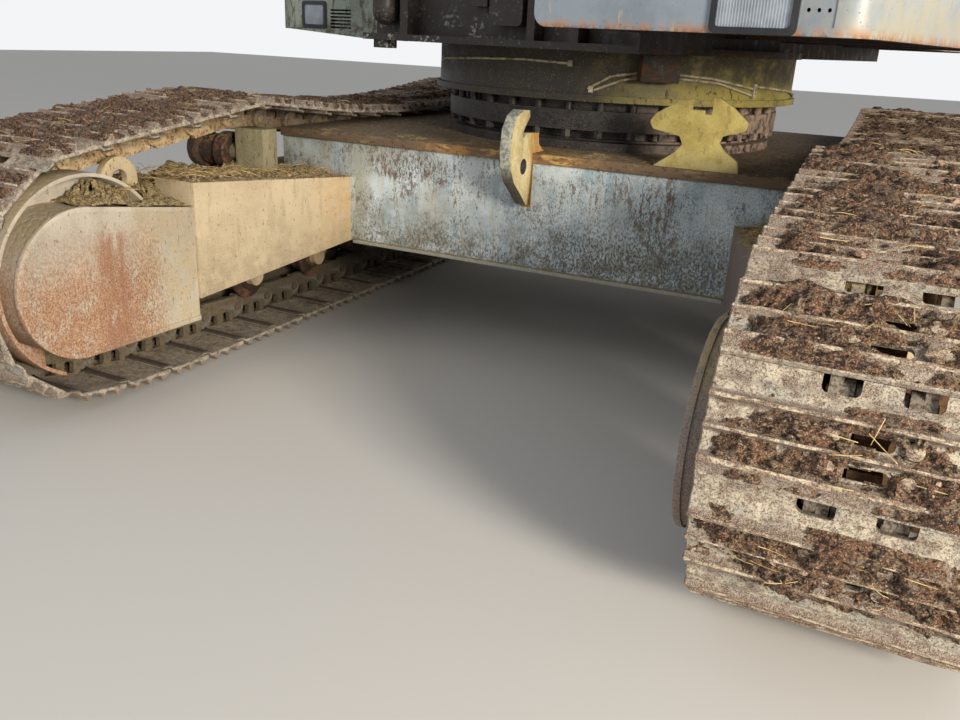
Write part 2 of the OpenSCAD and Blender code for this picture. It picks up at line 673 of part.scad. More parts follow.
module front_panel_left() {
    color("#8f9a8c") slewed() left() {
        difference() {
            union() {
                panel_skin(far_z0, -plate_x0, -far_y, plat_x, plat_x, rear_y - 200);
                translate([0, -far_y + skin_t / 2, 0]) along_y(skin_t) polygon([
                    [-plate_x0 + seat_gap, far_z0 + 1], [-plate_x0 + seat_gap, deck_z0 - 4], [910, deck_z0],
                    [plat_x - corner_r, far_z0], [plat_x - corner_r, far_z0 + 1]
                ]);
            }
            translate([far_lamp_x, -far_y - 20, far_lamp_z]) cube([far_lamp_w, 40, far_lamp_h]);
            for (i = [0:5]) translate([981, -far_y - 20, far_z0 + 10 + i * 15]) cube([140, 40, 8]);
        }
        translate([0, -far_y - bezel_t / 2 + 0.5, 0]) translate([2 * far_lamp_x + far_lamp_w, 0, 0]) left()
            bezel(far_lamp_x, far_lamp_z, far_lamp_w, far_lamp_h, 62);
    }
}
module deck_right() {
    color("#6b675c") slewed() translate([0, 0, bay_z0 + bay_h]) linear_extrude(height = 8)
        bay_area(0, web_x + web_t / 2 + seat_gap, -front_y, plat_x, step_x, step_y);
}
module deck_left() {
    color("#6b675c") slewed() left() translate([0, 0, far_z0 + bay_h]) linear_extrude(height = 8)
        bay_area(0, web_x + web_t / 2 + seat_gap, -far_y, plat_x, plat_x, rear_y - 200);
}
module lamp_block(w, h) {
    along_y(38) offset(delta = -seat_gap) offset(r = 12) offset(delta = -12) square([w, h]);
}
module lamps() {
    color("#c9ccd0") slewed() {
        translate([lamp_x, -front_y + 15, lamp_z]) lamp_block(lamp_w, lamp_h);
        translate([-far_lamp_x - far_lamp_w, -far_y + 15, far_lamp_z]) lamp_block(far_lamp_w, far_lamp_h);
    }
}
module slew_drive() {
    color("#4b4a45") slewed() translate([0, drive_y, deck_z0]) {
        translate([0, 0, race_z0 + 10 - deck_z0]) cylinder(r = pinion_r, h = deck_z0 - race_z0 - 10);
        translate([0, 0, -90]) cylinder(r = 150 - seat_gap, h = 110);
        translate([0, 0, plate_t]) cylinder(r = 190, h = 26);
        translate([0, 0, plate_t + 26 - 1]) cylinder(r = 150, h = 260);
        translate([0, 0, plate_t + 280]) cylinder(r = 90, h = 170);
    }
}
module slew_lock_bracket() {
    color("#6d5c3c") slewed() rotate([0, 0, 41]) translate([-72, -drum_r - 90, deck_z0 - 100])
        cube([144, 76, 100]);
}
// A pipe round the drum through points of angle and height, and a clip that holds it
pipe_r = 5;
pipe_off = drum_r + pipe_r + 1.2;
module pipe_run(points) {
    for (i = [0:len(points) - 2]) {
        a = points[i];
        b = points[i + 1];
        n = ceil((b[0] - a[0]) / 5);
        for (k = [0:n - 1]) hull() for (j = [k, k + 1]) {
            q = a + (b - a) * j / n;
            rotate([0, 0, q[0]]) translate([pipe_off, 0, q[1]]) sphere(r = pipe_r, $fn = 8);
        }
    }
}
module pipe_clip(angle, z, h) {
    rotate([0, 0, angle]) translate([drum_r + seat_gap, -9, z]) cube([2 * pipe_r + 4, 18, h]);
}
module grease_lines() {
    color("#8b8674") {
        pipe_run([[-139.6, 1178], [-114, 1193], [-98, 1200], [-84, 1194]]);
        pipe_run([[-78.6, 1109], [-72.7, 1156], [-65.4, 1174], [-54.2, 1172], [-44.2, 1163], [-28.8, 1129]]);
        pipe_run([[-76.8, 1104], [-70, 1143], [-65.4, 1158], [-54.1, 1158], [-42.5, 1148], [-29.6, 1106]]);
        pipe_run([[-27.5, 1138], [-5, 1116], [6.6, 1092]]);
        pipe_clip(-140, 1168, 22);
        pipe_clip(-84, 1184, 22);
        pipe_clip(-77.8, 1094, 24);
        pipe_clip(-28.4, 1096, 52);
        pipe_clip(6.6, 1086, 16);
    }
}

centre_frame();
centre_top_plate();
ring_seat();
inner_race();
swivel_joint();
slew_lock_plate();
tow_lug(-1);  // tow_lug_rear
tow_lug(1);  // tow_lug_front
left() track_frame();  // track_frame_left
track_frame();  // track_frame_right
left() motor_guard();  // motor_guard_left
motor_guard();  // motor_guard_right
left() final_drive();  // final_drive_left
final_drive();  // final_drive_right
left() sprocket();  // sprocket_left
sprocket();  // sprocket_right
left() idler();  // idler_left
idler();  // idler_right
left() idler_yoke();  // idler_yoke_left
idler_yoke();  // idler_yoke_right
left() carrier_rollers();  // carrier_rollers_left
carrier_rollers();  // carrier_rollers_right
left() carrier_brackets();  // carrier_brackets_left
carrier_brackets();  // carrier_brackets_right
left() track_rollers();  // track_rollers_left
track_rollers();  // track_rollers_right
left() roller_mounts();  // roller_mounts_left
roller_mounts();  // roller_mounts_right
left() track();  // track_left
track();  // track_right
outer_race();
ring_bolt_rows();
turntable_drum();
platform_centre();
boom_foot();
platform_side_left();
platform_side_right();
front_panel_left();
front_panel_right();
deck_left();
deck_right();
lamps();
slew_drive();
slew_lock_bracket();
grease_lines();
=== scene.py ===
"""Looks of a crawler undercarriage with its slewing ring and slewing platform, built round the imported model.

Everything is in metres: X across the machine, Y along it with the sprockets at -Y, Z up from the ground.
"""

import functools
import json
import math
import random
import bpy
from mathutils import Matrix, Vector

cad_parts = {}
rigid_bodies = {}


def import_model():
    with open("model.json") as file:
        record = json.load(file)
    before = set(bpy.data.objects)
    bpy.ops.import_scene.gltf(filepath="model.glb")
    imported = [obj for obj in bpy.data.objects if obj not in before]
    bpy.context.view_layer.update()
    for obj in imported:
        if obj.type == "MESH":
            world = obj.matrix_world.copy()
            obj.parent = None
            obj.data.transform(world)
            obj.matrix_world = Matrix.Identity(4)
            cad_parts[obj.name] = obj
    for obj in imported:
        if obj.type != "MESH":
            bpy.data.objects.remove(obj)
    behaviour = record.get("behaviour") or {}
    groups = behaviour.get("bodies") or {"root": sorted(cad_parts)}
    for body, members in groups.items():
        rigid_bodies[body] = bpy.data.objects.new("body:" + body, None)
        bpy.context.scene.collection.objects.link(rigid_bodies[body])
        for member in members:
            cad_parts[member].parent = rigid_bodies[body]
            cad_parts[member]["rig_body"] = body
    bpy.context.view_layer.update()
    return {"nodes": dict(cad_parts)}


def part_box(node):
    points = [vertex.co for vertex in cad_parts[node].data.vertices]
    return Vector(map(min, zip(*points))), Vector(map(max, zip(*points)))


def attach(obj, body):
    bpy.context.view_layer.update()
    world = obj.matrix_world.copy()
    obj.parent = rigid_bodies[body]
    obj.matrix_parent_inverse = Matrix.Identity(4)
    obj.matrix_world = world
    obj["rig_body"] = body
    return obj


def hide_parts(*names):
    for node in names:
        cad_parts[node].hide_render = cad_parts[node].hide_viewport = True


bl_info = {
    "name": "Crawler undercarriage",
    "version": (1, 0, 0),
    "blender": (4, 5, 0),
    "location": "View3D > Sidebar > Undercarriage",
    "description": "Shoes, chain links, guards, mud, rust and worn paint of a crawler undercarriage",
    "category": "Object",
}

import bmesh
import bpy
from bpy.props import FloatProperty, FloatVectorProperty, IntProperty, PointerProperty
from mathutils import Matrix, Vector, noise
from mathutils.bvhtree import BVHTree

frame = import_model()
NODES = frame["nodes"]
SIDES = {"left": -1, "right": 1}

# The chain and its shoes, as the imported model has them: a link's reach outwards and inwards from its pins,
# the outer face of its rails, the shoe's plate and its grousers' height
LINK_OUT, LINK_IN = 0.062, 0.050
RAIL_OUTER = 0.093
SHOE_T = 0.011
GROUSER = 0.026
SHOE_X = [corner.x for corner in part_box("track_right")]
TRACK_X = sum(SHOE_X) / 2
SHOE_W = SHOE_X[1] - SHOE_X[0]
AXLE_Z = sum(corner.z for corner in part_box("sprocket_right")) / 2
AXLE_REACH = 2.1
SLEW = Matrix.Rotation(math.radians(-12), 4, "Z")
LUG_HOLE = (0, 1.05, 0.826)
UP, DOWN = Vector((0, 0, 1)), Vector((0, 0, -1))
WELD = 0.0001


def linear(code):
    """A colour of the shader's kind from an sRGB hex value."""
    parts = [int(code[i:i + 2], 16) / 255 for i in (1, 3, 5)]
    return [c / 12.92 if c <= 0.04045 else ((c + 0.055) / 1.055) ** 2.4 for c in parts] + [1.0]


def add(tree, kind, sockets=None, **settings):
    """Adds one node, with its settings by name and its sockets from values or from other sockets."""
    node = tree.nodes.new("ShaderNode" + kind)
    for name, value in settings.items():
        setattr(node, name, value)
    for name, value in (sockets or {}).items():
        if isinstance(value, bpy.types.NodeSocket):
            tree.links.new(value, node.inputs[name])
        else:
            node.inputs[name].default_value = value
    return node


class Finish:
    """A surface laid in coats: the bare one first, then paint, rust, dust and mud over it by masks."""

    def __init__(self, name, colour, roughness, metallic=0.0):
        self.material = bpy.data.materials.new(name)
        self.material.use_nodes = True
        self.tree = self.material.node_tree
        self.tree.nodes.clear()
        coord = add(self.tree, "TexCoord")
        self.place = coord.outputs["Object"]
        self.facing = coord.outputs["Normal"]
        self.colour = linear(colour)
        self.roughness = roughness
        self.metallic = metallic
        self.height = 0.0

    def between(self, value, low, high):
        """A mask: 0 below low and 1 above high, or the other way round where low is the larger."""
        return add(self.tree, "MapRange", {"Value": value, "From Min": low, "From Max": high},
                   interpolation_type="SMOOTHSTEP").outputs["Result"]

    def mottle(self, size_mm, low, high, stretch=(1, 1, 1), seed=0.0):
        """A mask of patches of that size; stretch above 1 draws them out along an axis."""
        spot = add(self.tree, "Mapping", {
            "Vector": self.place, "Location": (seed * 7.1, seed * 3.7, seed * 5.3),
            "Scale": [1000 / (size_mm * s) for s in stretch]})
        cloud = add(self.tree, "TexNoise", {"Vector": spot.outputs[0], "Scale": 1.0, "Detail": 4.0,
                                            "Roughness": 0.62})
        return self.between(cloud.outputs["Fac"], low, high)

    def grains(self, size_mm, low=0.30, high=0.10):
        """A mask of separate crumbs of that size."""
        spot = add(self.tree, "Mapping", {"Vector": self.place, "Scale": [1000 / size_mm] * 3})
        cell = add(self.tree, "TexVoronoi", {"Vector": spot.outputs[0], "Scale": 1.0})
        return self.between(cell.outputs["Distance"], low, high)

    def part(self, vector, axis):
        """One coordinate of a vector."""
        return add(self.tree, "SeparateXYZ", {0: vector}).outputs[axis]

    def from_zero(self, vector, axis):
        """The size of one coordinate, the same on both sides of the machine."""
        return add(self.tree, "Math", {0: self.part(vector, axis)}, operation="ABSOLUTE").outputs[0]

    def level(self, low, high, axis="Z"):
        """A mask that rises with height, in metres, or along another axis."""
        return self.between(self.part(self.place, axis), low, high)

    def facing_up(self):
        """A mask on what faces the sky."""
        return self.between(self.part(self.facing, "Z"), 0.35, 0.8)

    def tone(self, name, low, high):
        """A mask from the mesh's own attribute."""
        return self.between(add(self.tree, "Attribute", attribute_name=name).outputs["Fac"], low, high)

    def both(self, *masks):
        """Where all the masks are."""
        found = masks[0]
        for mask in masks[1:]:
            found = add(self.tree, "Math", {0: found, 1: mask}, operation="MULTIPLY").outputs[0]
        return found

    def lay(self, mask, colour, roughness=None, thick_mm=0.0, share=1.0):
        """Lays a coat where the mask is; share says how much of the ground it hides."""
        amount = add(self.tree, "Math", {0: mask, 1: share}, operation="MULTIPLY").outputs[0]
        self.colour = add(self.tree, "Mix", {0: amount, 6: self.colour, 7: linear(colour)},
                          data_type="RGBA").outputs[2]
        if roughness is not None:
            self.roughness = add(self.tree, "MapRange", {
                "Value": amount, "To Min": self.roughness, "To Max": roughness}).outputs["Result"]
        if thick_mm:
            self.height = add(self.tree, "Math", {0: mask, 1: thick_mm / 1000, 2: self.height},
                              operation="MULTIPLY_ADD").outputs[0]

    def close(self):
        """Closes the material with its shader and bump, and returns it."""
        values = {"Metallic": self.metallic, "Base Color": self.colour, "Roughness": self.roughness}
        if isinstance(self.height, bpy.types.NodeSocket):
            values["Normal"] = add(self.tree, "Bump", {"Height": self.height, "Distance": 1.0}).outputs[0]
        shader = add(self.tree, "BsdfPrincipled", values)
        add(self.tree, "OutputMaterial", {0: shader.outputs[0]})
        return self.material


def finish(name, colour, roughness, metallic=0.0):
    """Turns a function that lays coats into one that gives the material, which it makes once."""
    def ready(lay_coats):
        @functools.cache
        def material():
            surface = Finish(name, colour, roughness, metallic)
            lay_coats(surface)
            return surface.close()
        return material
    return ready


# Finishes
@finish("flaking_blue_enamel", "#9AADB8", 0.55)
def beam_paint(f):
    """Flaking pale blue enamel: runs down the web, rust in clusters, stains far off; cream on the legs, with
    painted shade on the right leg's inner side.
    """
    f.lay(f.mottle(190, 0.35, 0.65, (1, 1, 1.6)), "#D3DFE6", 0.45)
    f.lay(f.mottle(30, 0.45, 0.66, (1, 1, 8), seed=2), "#CBD3D2", 0.5, share=0.65)
    f.lay(f.mottle(13, 0.56, 0.66, (1, 1, 14), seed=5), "#A99F80", 0.7, share=0.5)
    f.lay(f.both(f.level(0.10, -0.75, "X"), f.mottle(90, 0.34, 0.64, (1, 1, 3), seed=6)),
          "#A09A80", 0.75, share=0.7)
    wear = f.mottle(300, 0.50, 0.62, (1, 1, 1.2), seed=7)
    f.lay(f.both(wear, f.mottle(16, 0.50, 0.60, (1, 1, 3), seed=8)), "#6F4D37", 0.85, 0.3, 0.9)
    f.lay(f.both(wear, f.mottle(5, 0.52, 0.60, (1, 1, 2), seed=9)), "#3B372E", 0.9, 0.4, 0.85)
    f.lay(f.both(f.level(0.70, 0.46), f.mottle(60, 0.42, 0.62, (2, 1, 1), seed=3)), "#8C8778", 0.85, 0.1, 0.7)
    f.lay(f.both(f.level(0.62, 0.44), f.mottle(9, 0.48, 0.57, (1, 1, 1.6), seed=10)),
          "#565140", 0.9, 0.3, 0.75)
    f.lay(f.mottle(8, 0.62, 0.67, (1, 1, 2.6), seed=11), "#4A4234", 0.9, 0.3)
    spread = f.mottle(110, 0.40, 0.60, seed=22)
    f.lay(f.both(spread, f.mottle(16, 0.55, 0.63, (1, 1, 2.4), seed=16)), "#6E5542", 0.9, 0.3, 0.75)
    f.lay(f.both(spread, f.mottle(5, 0.54, 0.62, (1, 1, 1.6), seed=18)), "#4B4336", 0.9, 0.3, 0.8)
    low = f.both(f.level(0.76, 0.52), f.level(-0.25, 0.30, "X"))
    f.lay(f.both(low, f.mottle(8, 0.48, 0.56, (1, 1, 1.6), seed=14)), "#3F3A2E", 0.9, 0.4, 0.8)
    f.lay(f.mottle(4, 0.62, 0.67, seed=12), "#5A4A38", 0.9, share=0.8)
    f.lay(f.both(f.level(0.15, 0.75, "X"), f.mottle(5, 0.50, 0.60, seed=17)), "#6C7870", 0.85, share=0.6)
    f.lay(f.level(0.423, 0.417), "#ABA594", 0.85, share=0.8)
    f.lay(f.mottle(3, 0.38, 0.66, seed=21), "#7D8A8C", None, 0.12, 0.30)
    leg = f.level(-0.971, -0.976, "Y")
    f.lay(leg, "#BFAE8F", 0.65)
    f.lay(f.both(leg, f.mottle(200, 0.4, 0.62, (1, 2, 1), seed=30)), "#AF9D80", 0.75)
    f.lay(f.both(leg, f.mottle(40, 0.50, 0.66, (1, 1, 4), seed=31)), "#A09075", 0.8, share=0.7)
    f.lay(f.both(leg, f.level(-1.30, -0.99, "Y"), f.mottle(45, 0.30, 0.60, seed=32)),
          "#B48D4E", 0.85, 0.3, 0.55)
    f.lay(f.both(leg, f.level(0.56, 0.34), f.mottle(60, 0.34, 0.62, seed=33)), "#8E7E66", 0.85, 0.2, 0.75)
    f.lay(f.both(leg, f.mottle(9, 0.62, 0.67, (1, 1, 2), seed=34)), "#6B4630", 0.9, 0.4, 0.8)
    f.lay(f.both(leg, f.mottle(3.5, 0.36, 0.66, seed=35)), "#D0C2A4", None, 0.2, 0.4)
    # Painted shade: the right leg's faces that turn towards -X are darkened to violet grey.
    shaded_inner_side = f.between(f.part(f.facing, "X"), -0.3, -0.8)
    f.lay(f.both(leg, f.level(0.4, 0.6, "X"), shaded_inner_side), "#5A5257", 0.85, share=0.85)
    f.lay(f.both(f.facing_up(), f.mottle(30, 0.3, 0.6, seed=19)), "#8F7B55", 0.95, 2.0)


@finish("rusty_worn_plate", "#695743", 0.8)
def top_plate_rust(f):
    """Bare plate edge and top: orange rust with worn tan streaks, dusty on top."""
    middle = f.both(f.level(-0.55, -0.30, "X"), f.level(0.36, 0.12, "X"))
    f.lay(f.both(middle, f.mottle(90, 0.34, 0.56, (3, 1, 1))), "#A9793F", 0.8)
    f.lay(f.both(middle, f.mottle(20, 0.5, 0.62, (4, 1, 1), seed=2)), "#C09A58", 0.75)
    f.lay(f.mottle(26, 0.52, 0.64, (4, 1, 1), seed=3), "#8E7B5C", 0.8, share=0.7)
    f.lay(f.mottle(12, 0.55, 0.65, (2, 1, 1), seed=4), "#5A3E2A", 0.9, 0.4)
    f.lay(f.both(f.facing_up(), f.mottle(60, 0.3, 0.7, seed=7)), "#57493A", 0.95, 1.0)
    f.lay(f.both(f.facing_up(), f.mottle(14, 0.45, 0.6, seed=9)), "#8F7B58", 0.95, 2.0)
    f.lay(f.mottle(4, 0.4, 0.7, seed=11), "#3E3024", None, 0.2, 0.3)


@finish("cream_enamel_under_dust", "#CDBB98", 0.6)
def leg_paint(f):
    """Cream enamel under dried mud: orange rust at the far end of the legs, specks along the lower edge."""
    f.lay(f.mottle(160, 0.4, 0.62, (1, 2, 1)), "#BFAE8E", 0.7)
    f.lay(f.mottle(45, 0.5, 0.66, (1, 1, 3), seed=4), "#A8987C", 0.8)
    f.lay(f.both(f.level(0.62, 0.36), f.mottle(90, 0.3, 0.7, seed=6)), "#9B8B73", 0.85, 0.3, 0.8)
    f.lay(f.both(f.level(-1.15, -0.96, "Y"), f.mottle(26, 0.42, 0.58, seed=9)), "#A88A5C", 0.85, 0.3, 0.5)
    f.lay(f.mottle(13, 0.62, 0.67, (1, 1, 2), seed=12), "#7C5236", 0.9, 0.4)
    f.lay(f.mottle(6, 0.64, 0.7, seed=14), "#5E4A38", 0.9, share=0.8)
    f.lay(f.both(f.facing_up(), f.mottle(24, 0.25, 0.55, seed=16)), "#A28E63", 0.95, 3.0)
    f.lay(f.mottle(3, 0.35, 0.7, seed=18), "#B7A586", None, 0.2, 0.35)


@finish("whitish_enamel_rusting", "#BFB6A6", 0.55)
def guard_paint(f):
    """Whitish enamel on the motor guards: rust from below, a streak down the middle, an orange rim, and
    painted shade darkening the whole right guard.
    """
    f.lay(f.mottle(110, 0.38, 0.62, (1, 1, 2)), "#A79F90", 0.6)
    f.lay(f.both(f.level(-2.04, -1.90, "Y"), f.mottle(60, 0.30, 0.62, seed=9)), "#B8A57F", 0.75, share=0.8)
    low = f.both(f.level(0.68, 0.38), f.level(-1.84, -2.0, "Y"))
    f.lay(f.both(low, f.mottle(75, 0.28, 0.58, (1, 1, 1.6), seed=3)), "#9C5C04", 0.95, 0.2, 0.9)
    wide = f.both(f.level(0.72, 0.40), f.level(-1.80, -1.96, "Y"))
    f.lay(f.both(wide, f.mottle(7, 0.46, 0.54, (1, 1, 1.5), seed=5)), "#7C4304", 0.95, 0.3, 0.9)
    f.lay(f.both(low, f.mottle(5, 0.54, 0.62, seed=6)), "#D8CBB0", 0.7, 0.1, 0.5)
    streak = f.both(f.level(-2.17, -2.11, "Y"), f.level(-2.00, -2.06, "Y"), f.level(0.64, 0.58))
    f.lay(f.both(streak, f.mottle(22, 0.32, 0.58, (1, 1, 4), seed=7)), "#844604", 0.95, 0.2, 0.9)
    f.lay(f.mottle(12, 0.60, 0.66, (1, 1, 2), seed=12), "#7A4A2C", 0.9, 0.2, 0.7)
    rim = f.between(f.from_zero(f.place, "X"), 0.9905, 0.9890)
    f.lay(f.both(rim, f.mottle(30, 0.30, 0.52, seed=17)), "#A4661C", 0.95, 0.2, 0.95)
    # Painted shade: the right guard, from X 0.3 to 0.8 m, is darkened to violet grey all over.
    f.lay(f.level(0.30, 0.80, "X"), "#5E5458", 0.8, share=0.75)
    f.lay(f.mottle(4, 0.60, 0.68, seed=11), "#5C3E2C", 0.9, 0.2, 0.8)
    f.lay(f.both(f.facing_up(), f.mottle(20, 0.3, 0.55, seed=13)), "#A08A60", 0.95, 2.5)
    f.lay(f.mottle(2.6, 0.36, 0.66, seed=15), "#D8D0C2", None, 0.15, 0.35)


@finish("orange_rust_on_steel", "#A87A50", 0.8)
def rim_rust(f):
    """Bare rolled steel rim, orange brown with a worn tan crest; painted shade darkens the right one."""
    f.lay(f.mottle(40, 0.42, 0.6), "#C08E5C", 0.8)
    f.lay(f.mottle(12, 0.5, 0.6, seed=2), "#7E5232", 0.9, 0.3)
    f.lay(f.mottle(4, 0.55, 0.65, seed=4), "#D2B58A", 0.85, 0.2)
    # Painted shade: the right final drive's rim is darkened, from X 0.2 to 0.9 m.
    f.lay(f.level(0.2, 0.9, "X"), "#4A3826", 0.9, share=0.8)


@finish("clay_film_on_rusty_steel", "#85766A", 0.9)
def shoe_steel(f):
    """Rolled track shoes: rusty steel under dried clay, brown on the grousers, beige on the plates; painted
    shade on the grousers' flanks and on the tails, painted highlights along the crests.
    """
    f.lay(f.mottle(80, 0.40, 0.60), "#978A7C", 0.95)
    f.lay(f.both(f.tone("height", 0.25, 0.02), f.mottle(40, 0.34, 0.60, seed=2)), "#C4B9A4", 0.95, 0.3)
    f.lay(f.both(f.tone("height", 0.15, 0.02), f.mottle(70, 0.52, 0.60, seed=3)), "#A6A69C", 0.95, share=0.8)
    # Painted shade, mottled: the grousers' flanks, between plate and crest, are darkened to brown.
    f.lay(f.both(f.tone("height", 0.35, 0.85), f.mottle(30, 0.34, 0.6, seed=4)), "#553A2C", 0.85, 0.3, 0.9)
    f.lay(f.tone("height", 0.70, 0.95), "#7E5E46", 0.85, share=0.8)
    # Painted highlight: pale cream streaks along the grousers' crests.
    f.lay(f.both(f.tone("height", 0.80, 0.96), f.mottle(14, 0.44, 0.56, (3, 1, 1), seed=6)),
          "#D9C9AE", 0.8, share=0.9)
    f.lay(f.mottle(30, 0.52, 0.64, seed=8), "#6A5040", 0.95, 0.4, 0.75)
    f.lay(f.mottle(11, 0.53, 0.62, seed=9), "#5C4436", 0.95, 0.6, 0.7)
    f.lay(f.mottle(5, 0.54, 0.62, seed=10), "#4C382D", 0.95, 0.6, 0.75)
    f.lay(f.mottle(3, 0.56, 0.63, seed=11), "#3A2B23", 0.95, 0.5, 0.7)
    f.lay(f.grains(5), "#A8927A", None, 0.8, 0.4)
    f.lay(f.mottle(2.2, 0.46, 0.62, seed=12), "#D6CCBC", None, 0.35, 0.5)
    # Painted shade: the tails, which tuck under the next shoe, are darkened.
    f.lay(f.tone("height", -0.1, -0.4), "#3E3128", 0.95, share=0.85)


@finish("crumbly_clay_mud", "#5A4031", 1.0)
def clay_mud(f):
    """Clay packed between the grousers: crumbly dark brown where thick, pale where thin, with straw in it."""
    f.lay(f.mottle(60, 0.40, 0.58, seed=1), "#7D5A42", 1.0, 1.5)
    f.lay(f.mottle(26, 0.48, 0.57, seed=3), "#33241D", 1.0, 1.5)
    f.lay(f.mottle(34, 0.54, 0.62, seed=4), "#8C8270", 1.0, 1.0, 0.8)
    f.lay(f.mottle(12, 0.51, 0.58, seed=5), "#8A6750", 1.0, 2.0)
    f.lay(f.both(f.tone("thick", 0.40, 0.05), f.mottle(16, 0.34, 0.58, seed=7)), "#9A8870", 1.0, 0.8, 0.85)
    f.lay(f.mottle(8, 0.55, 0.60, seed=8), "#B8967E", 0.95, 1.8, 0.85)
    f.lay(f.mottle(6, 0.60, 0.64, seed=14), "#B5936A", 0.95, 1.5, 0.8)
    f.lay(f.grains(6, 0.32, 0.14), "#6E5040", None, 2.5, 0.4)
    f.lay(f.mottle(3.5, 0.60, 0.65, (6, 1, 1), seed=9), "#C0A888", 0.9, 0.5, 0.65)
    f.lay(f.mottle(3.5, 0.60, 0.65, (1, 6, 1), seed=11), "#C9B595", 0.9, 0.5, 0.65)
    f.lay(f.mottle(9, 0.55, 0.60, seed=12), "#201712", None, 1.5, 0.85)
    f.lay(f.mottle(3.5, 0.50, 0.60, seed=13), "#241A15", None, 1.5, 0.6)


@finish("loose_dry_dirt", "#8C7650", 1.0)
def heap_dirt(f):
    """Loose dry dirt with bits of straw, olive brown."""
    f.lay(f.mottle(60, 0.4, 0.6), "#A3906A", 1.0, 1.0)
    f.lay(f.mottle(16, 0.48, 0.6, seed=3), "#6A5638", 1.0, 1.5)
    f.lay(f.grains(8, 0.36, 0.14), "#B9A67C", None, 2.0, 0.6)
    f.lay(f.mottle(5, 0.50, 0.6, seed=5), "#4C3C28", None, 1.0, 0.6)
    f.lay(f.mottle(4, 0.57, 0.62, (6, 1, 1), seed=9), "#D8C695", 0.9, 0.6, 0.85)
    f.lay(f.mottle(4, 0.57, 0.62, (1, 6, 1), seed=11), "#CDB986", 0.9, 0.6, 0.85)


@finish("pinkish_clay_chips", "#9C7A66", 0.95)
def chip_stone(f):
    """Chips of pinkish brick and clay."""
    f.lay(f.mottle(45, 0.42, 0.58), "#BFA08A", 0.95)
    f.lay(f.mottle(12, 0.5, 0.6, seed=3), "#6A4C3A", 1.0, 0.4)
    f.lay(f.mottle(3, 0.4, 0.65, seed=5), "#D5C0A8", None, 0.3, 0.4)


@finish("dusty_forged_links", "#BFA47C", 0.9)
def chain_steel(f):
    """Forged links under dusty dried mud, with painted shade darkening them beyond Y = -0.9 m, and dust with
    painted shade low down.
    """
    f.lay(f.mottle(60, 0.4, 0.62), "#D3BC93", 0.95, 0.5)
    f.lay(f.mottle(16, 0.52, 0.62, seed=2), "#8C6C4A", 0.95, 0.6)
    f.lay(f.mottle(7, 0.57, 0.65, seed=4), "#5A4430", 0.95, 0.5)
    # Painted shade: the links are darkened beyond Y = -0.9 m, away from the sprockets.
    f.lay(f.level(-1.5, -0.9, "Y"), "#30271F", share=0.75)
    # Darker grey brown below Z 0.35 m: dust, and painted shade under the frames.
    f.lay(f.level(0.35, 0.12), "#4E4638", share=0.88)
    f.lay(f.grains(6), "#C9B38D", None, 0.8, 0.4)
    f.lay(f.tone("boss", 0.2, 0.8), "#77746D", 0.6, share=0.85)
    f.lay(f.both(f.tone("boss", 0.2, 0.8), f.mottle(7, 0.5, 0.6, seed=6)), "#5B4334", 0.9, 0.4, 0.85)


@finish("dusty_grey_olive_enamel", "#8E866B", 0.7)
def bracket_paint(f):
    """Grey olive enamel on the carrier rollers' brackets, dusty, with a rusting edge."""
    f.lay(f.mottle(60, 0.4, 0.6, (1, 1, 2)), "#7B7458", 0.75)
    f.lay(f.mottle(14, 0.56, 0.64, (1, 1, 3), seed=3), "#5E5138", 0.85, 0.2)
    f.lay(f.mottle(5, 0.6, 0.67, seed=5), "#4A3B2A", 0.9, 0.2)
    f.lay(f.mottle(3, 0.4, 0.66, seed=7), "#B3AA8C", None, 0.15, 0.4)


@finish("dark_brown_rust", "#33251C", 0.7)
def roller_rust(f):
    """Forged rollers: dark brown rust with paler rings of wear."""
    f.lay(f.mottle(26, 0.46, 0.6, (1, 4, 4)), "#6B4A33", 0.7)
    f.lay(f.mottle(9, 0.52, 0.62, seed=3), "#2E221A", 0.85, 0.3)
    f.lay(f.both(f.facing_up(), f.mottle(15, 0.4, 0.6, seed=5)), "#8A7354", 0.95, 1.0)


@finish("orange_rust_on_cast_rim", "#A0703F", 0.8)
def sprocket_rust(f):
    """Cast sprocket rim, bright orange rust; painted shade darkens the right one."""
    f.lay(f.mottle(40, 0.42, 0.62), "#C0935C", 0.8)
    # Painted shade: the right sprocket is darkened, from X 0.2 to 0.9 m.
    f.lay(f.level(0.2, 0.9, "X"), "#3C2F26", 0.9, share=0.85)
    f.lay(f.mottle(10, 0.5, 0.6, seed=3), "#80502F", 0.9, 0.4)


@finish("grease_on_machined_steel", "#242120", 0.45, 0.3)
def greasy_steel(f):
    """Ring races and bolts: black grease with dust stuck in it, brown mottles towards the right."""
    f.lay(f.mottle(70, 0.42, 0.62), "#383330", 0.6)
    f.lay(f.mottle(12, 0.52, 0.62, seed=3), "#171515", 0.35, 0.3)
    f.lay(f.both(f.level(0.25, 0.62, "X"), f.mottle(30, 0.34, 0.6, seed=5)), "#9A8270", 0.95, 0.8, 0.9)
    f.lay(f.both(f.facing_up(), f.mottle(12, 0.4, 0.6, seed=7)), "#6A5A48", 0.9, 0.8, 0.7)
    f.lay(f.mottle(4, 0.58, 0.66, seed=9), "#8C8272", 0.8, share=0.6)


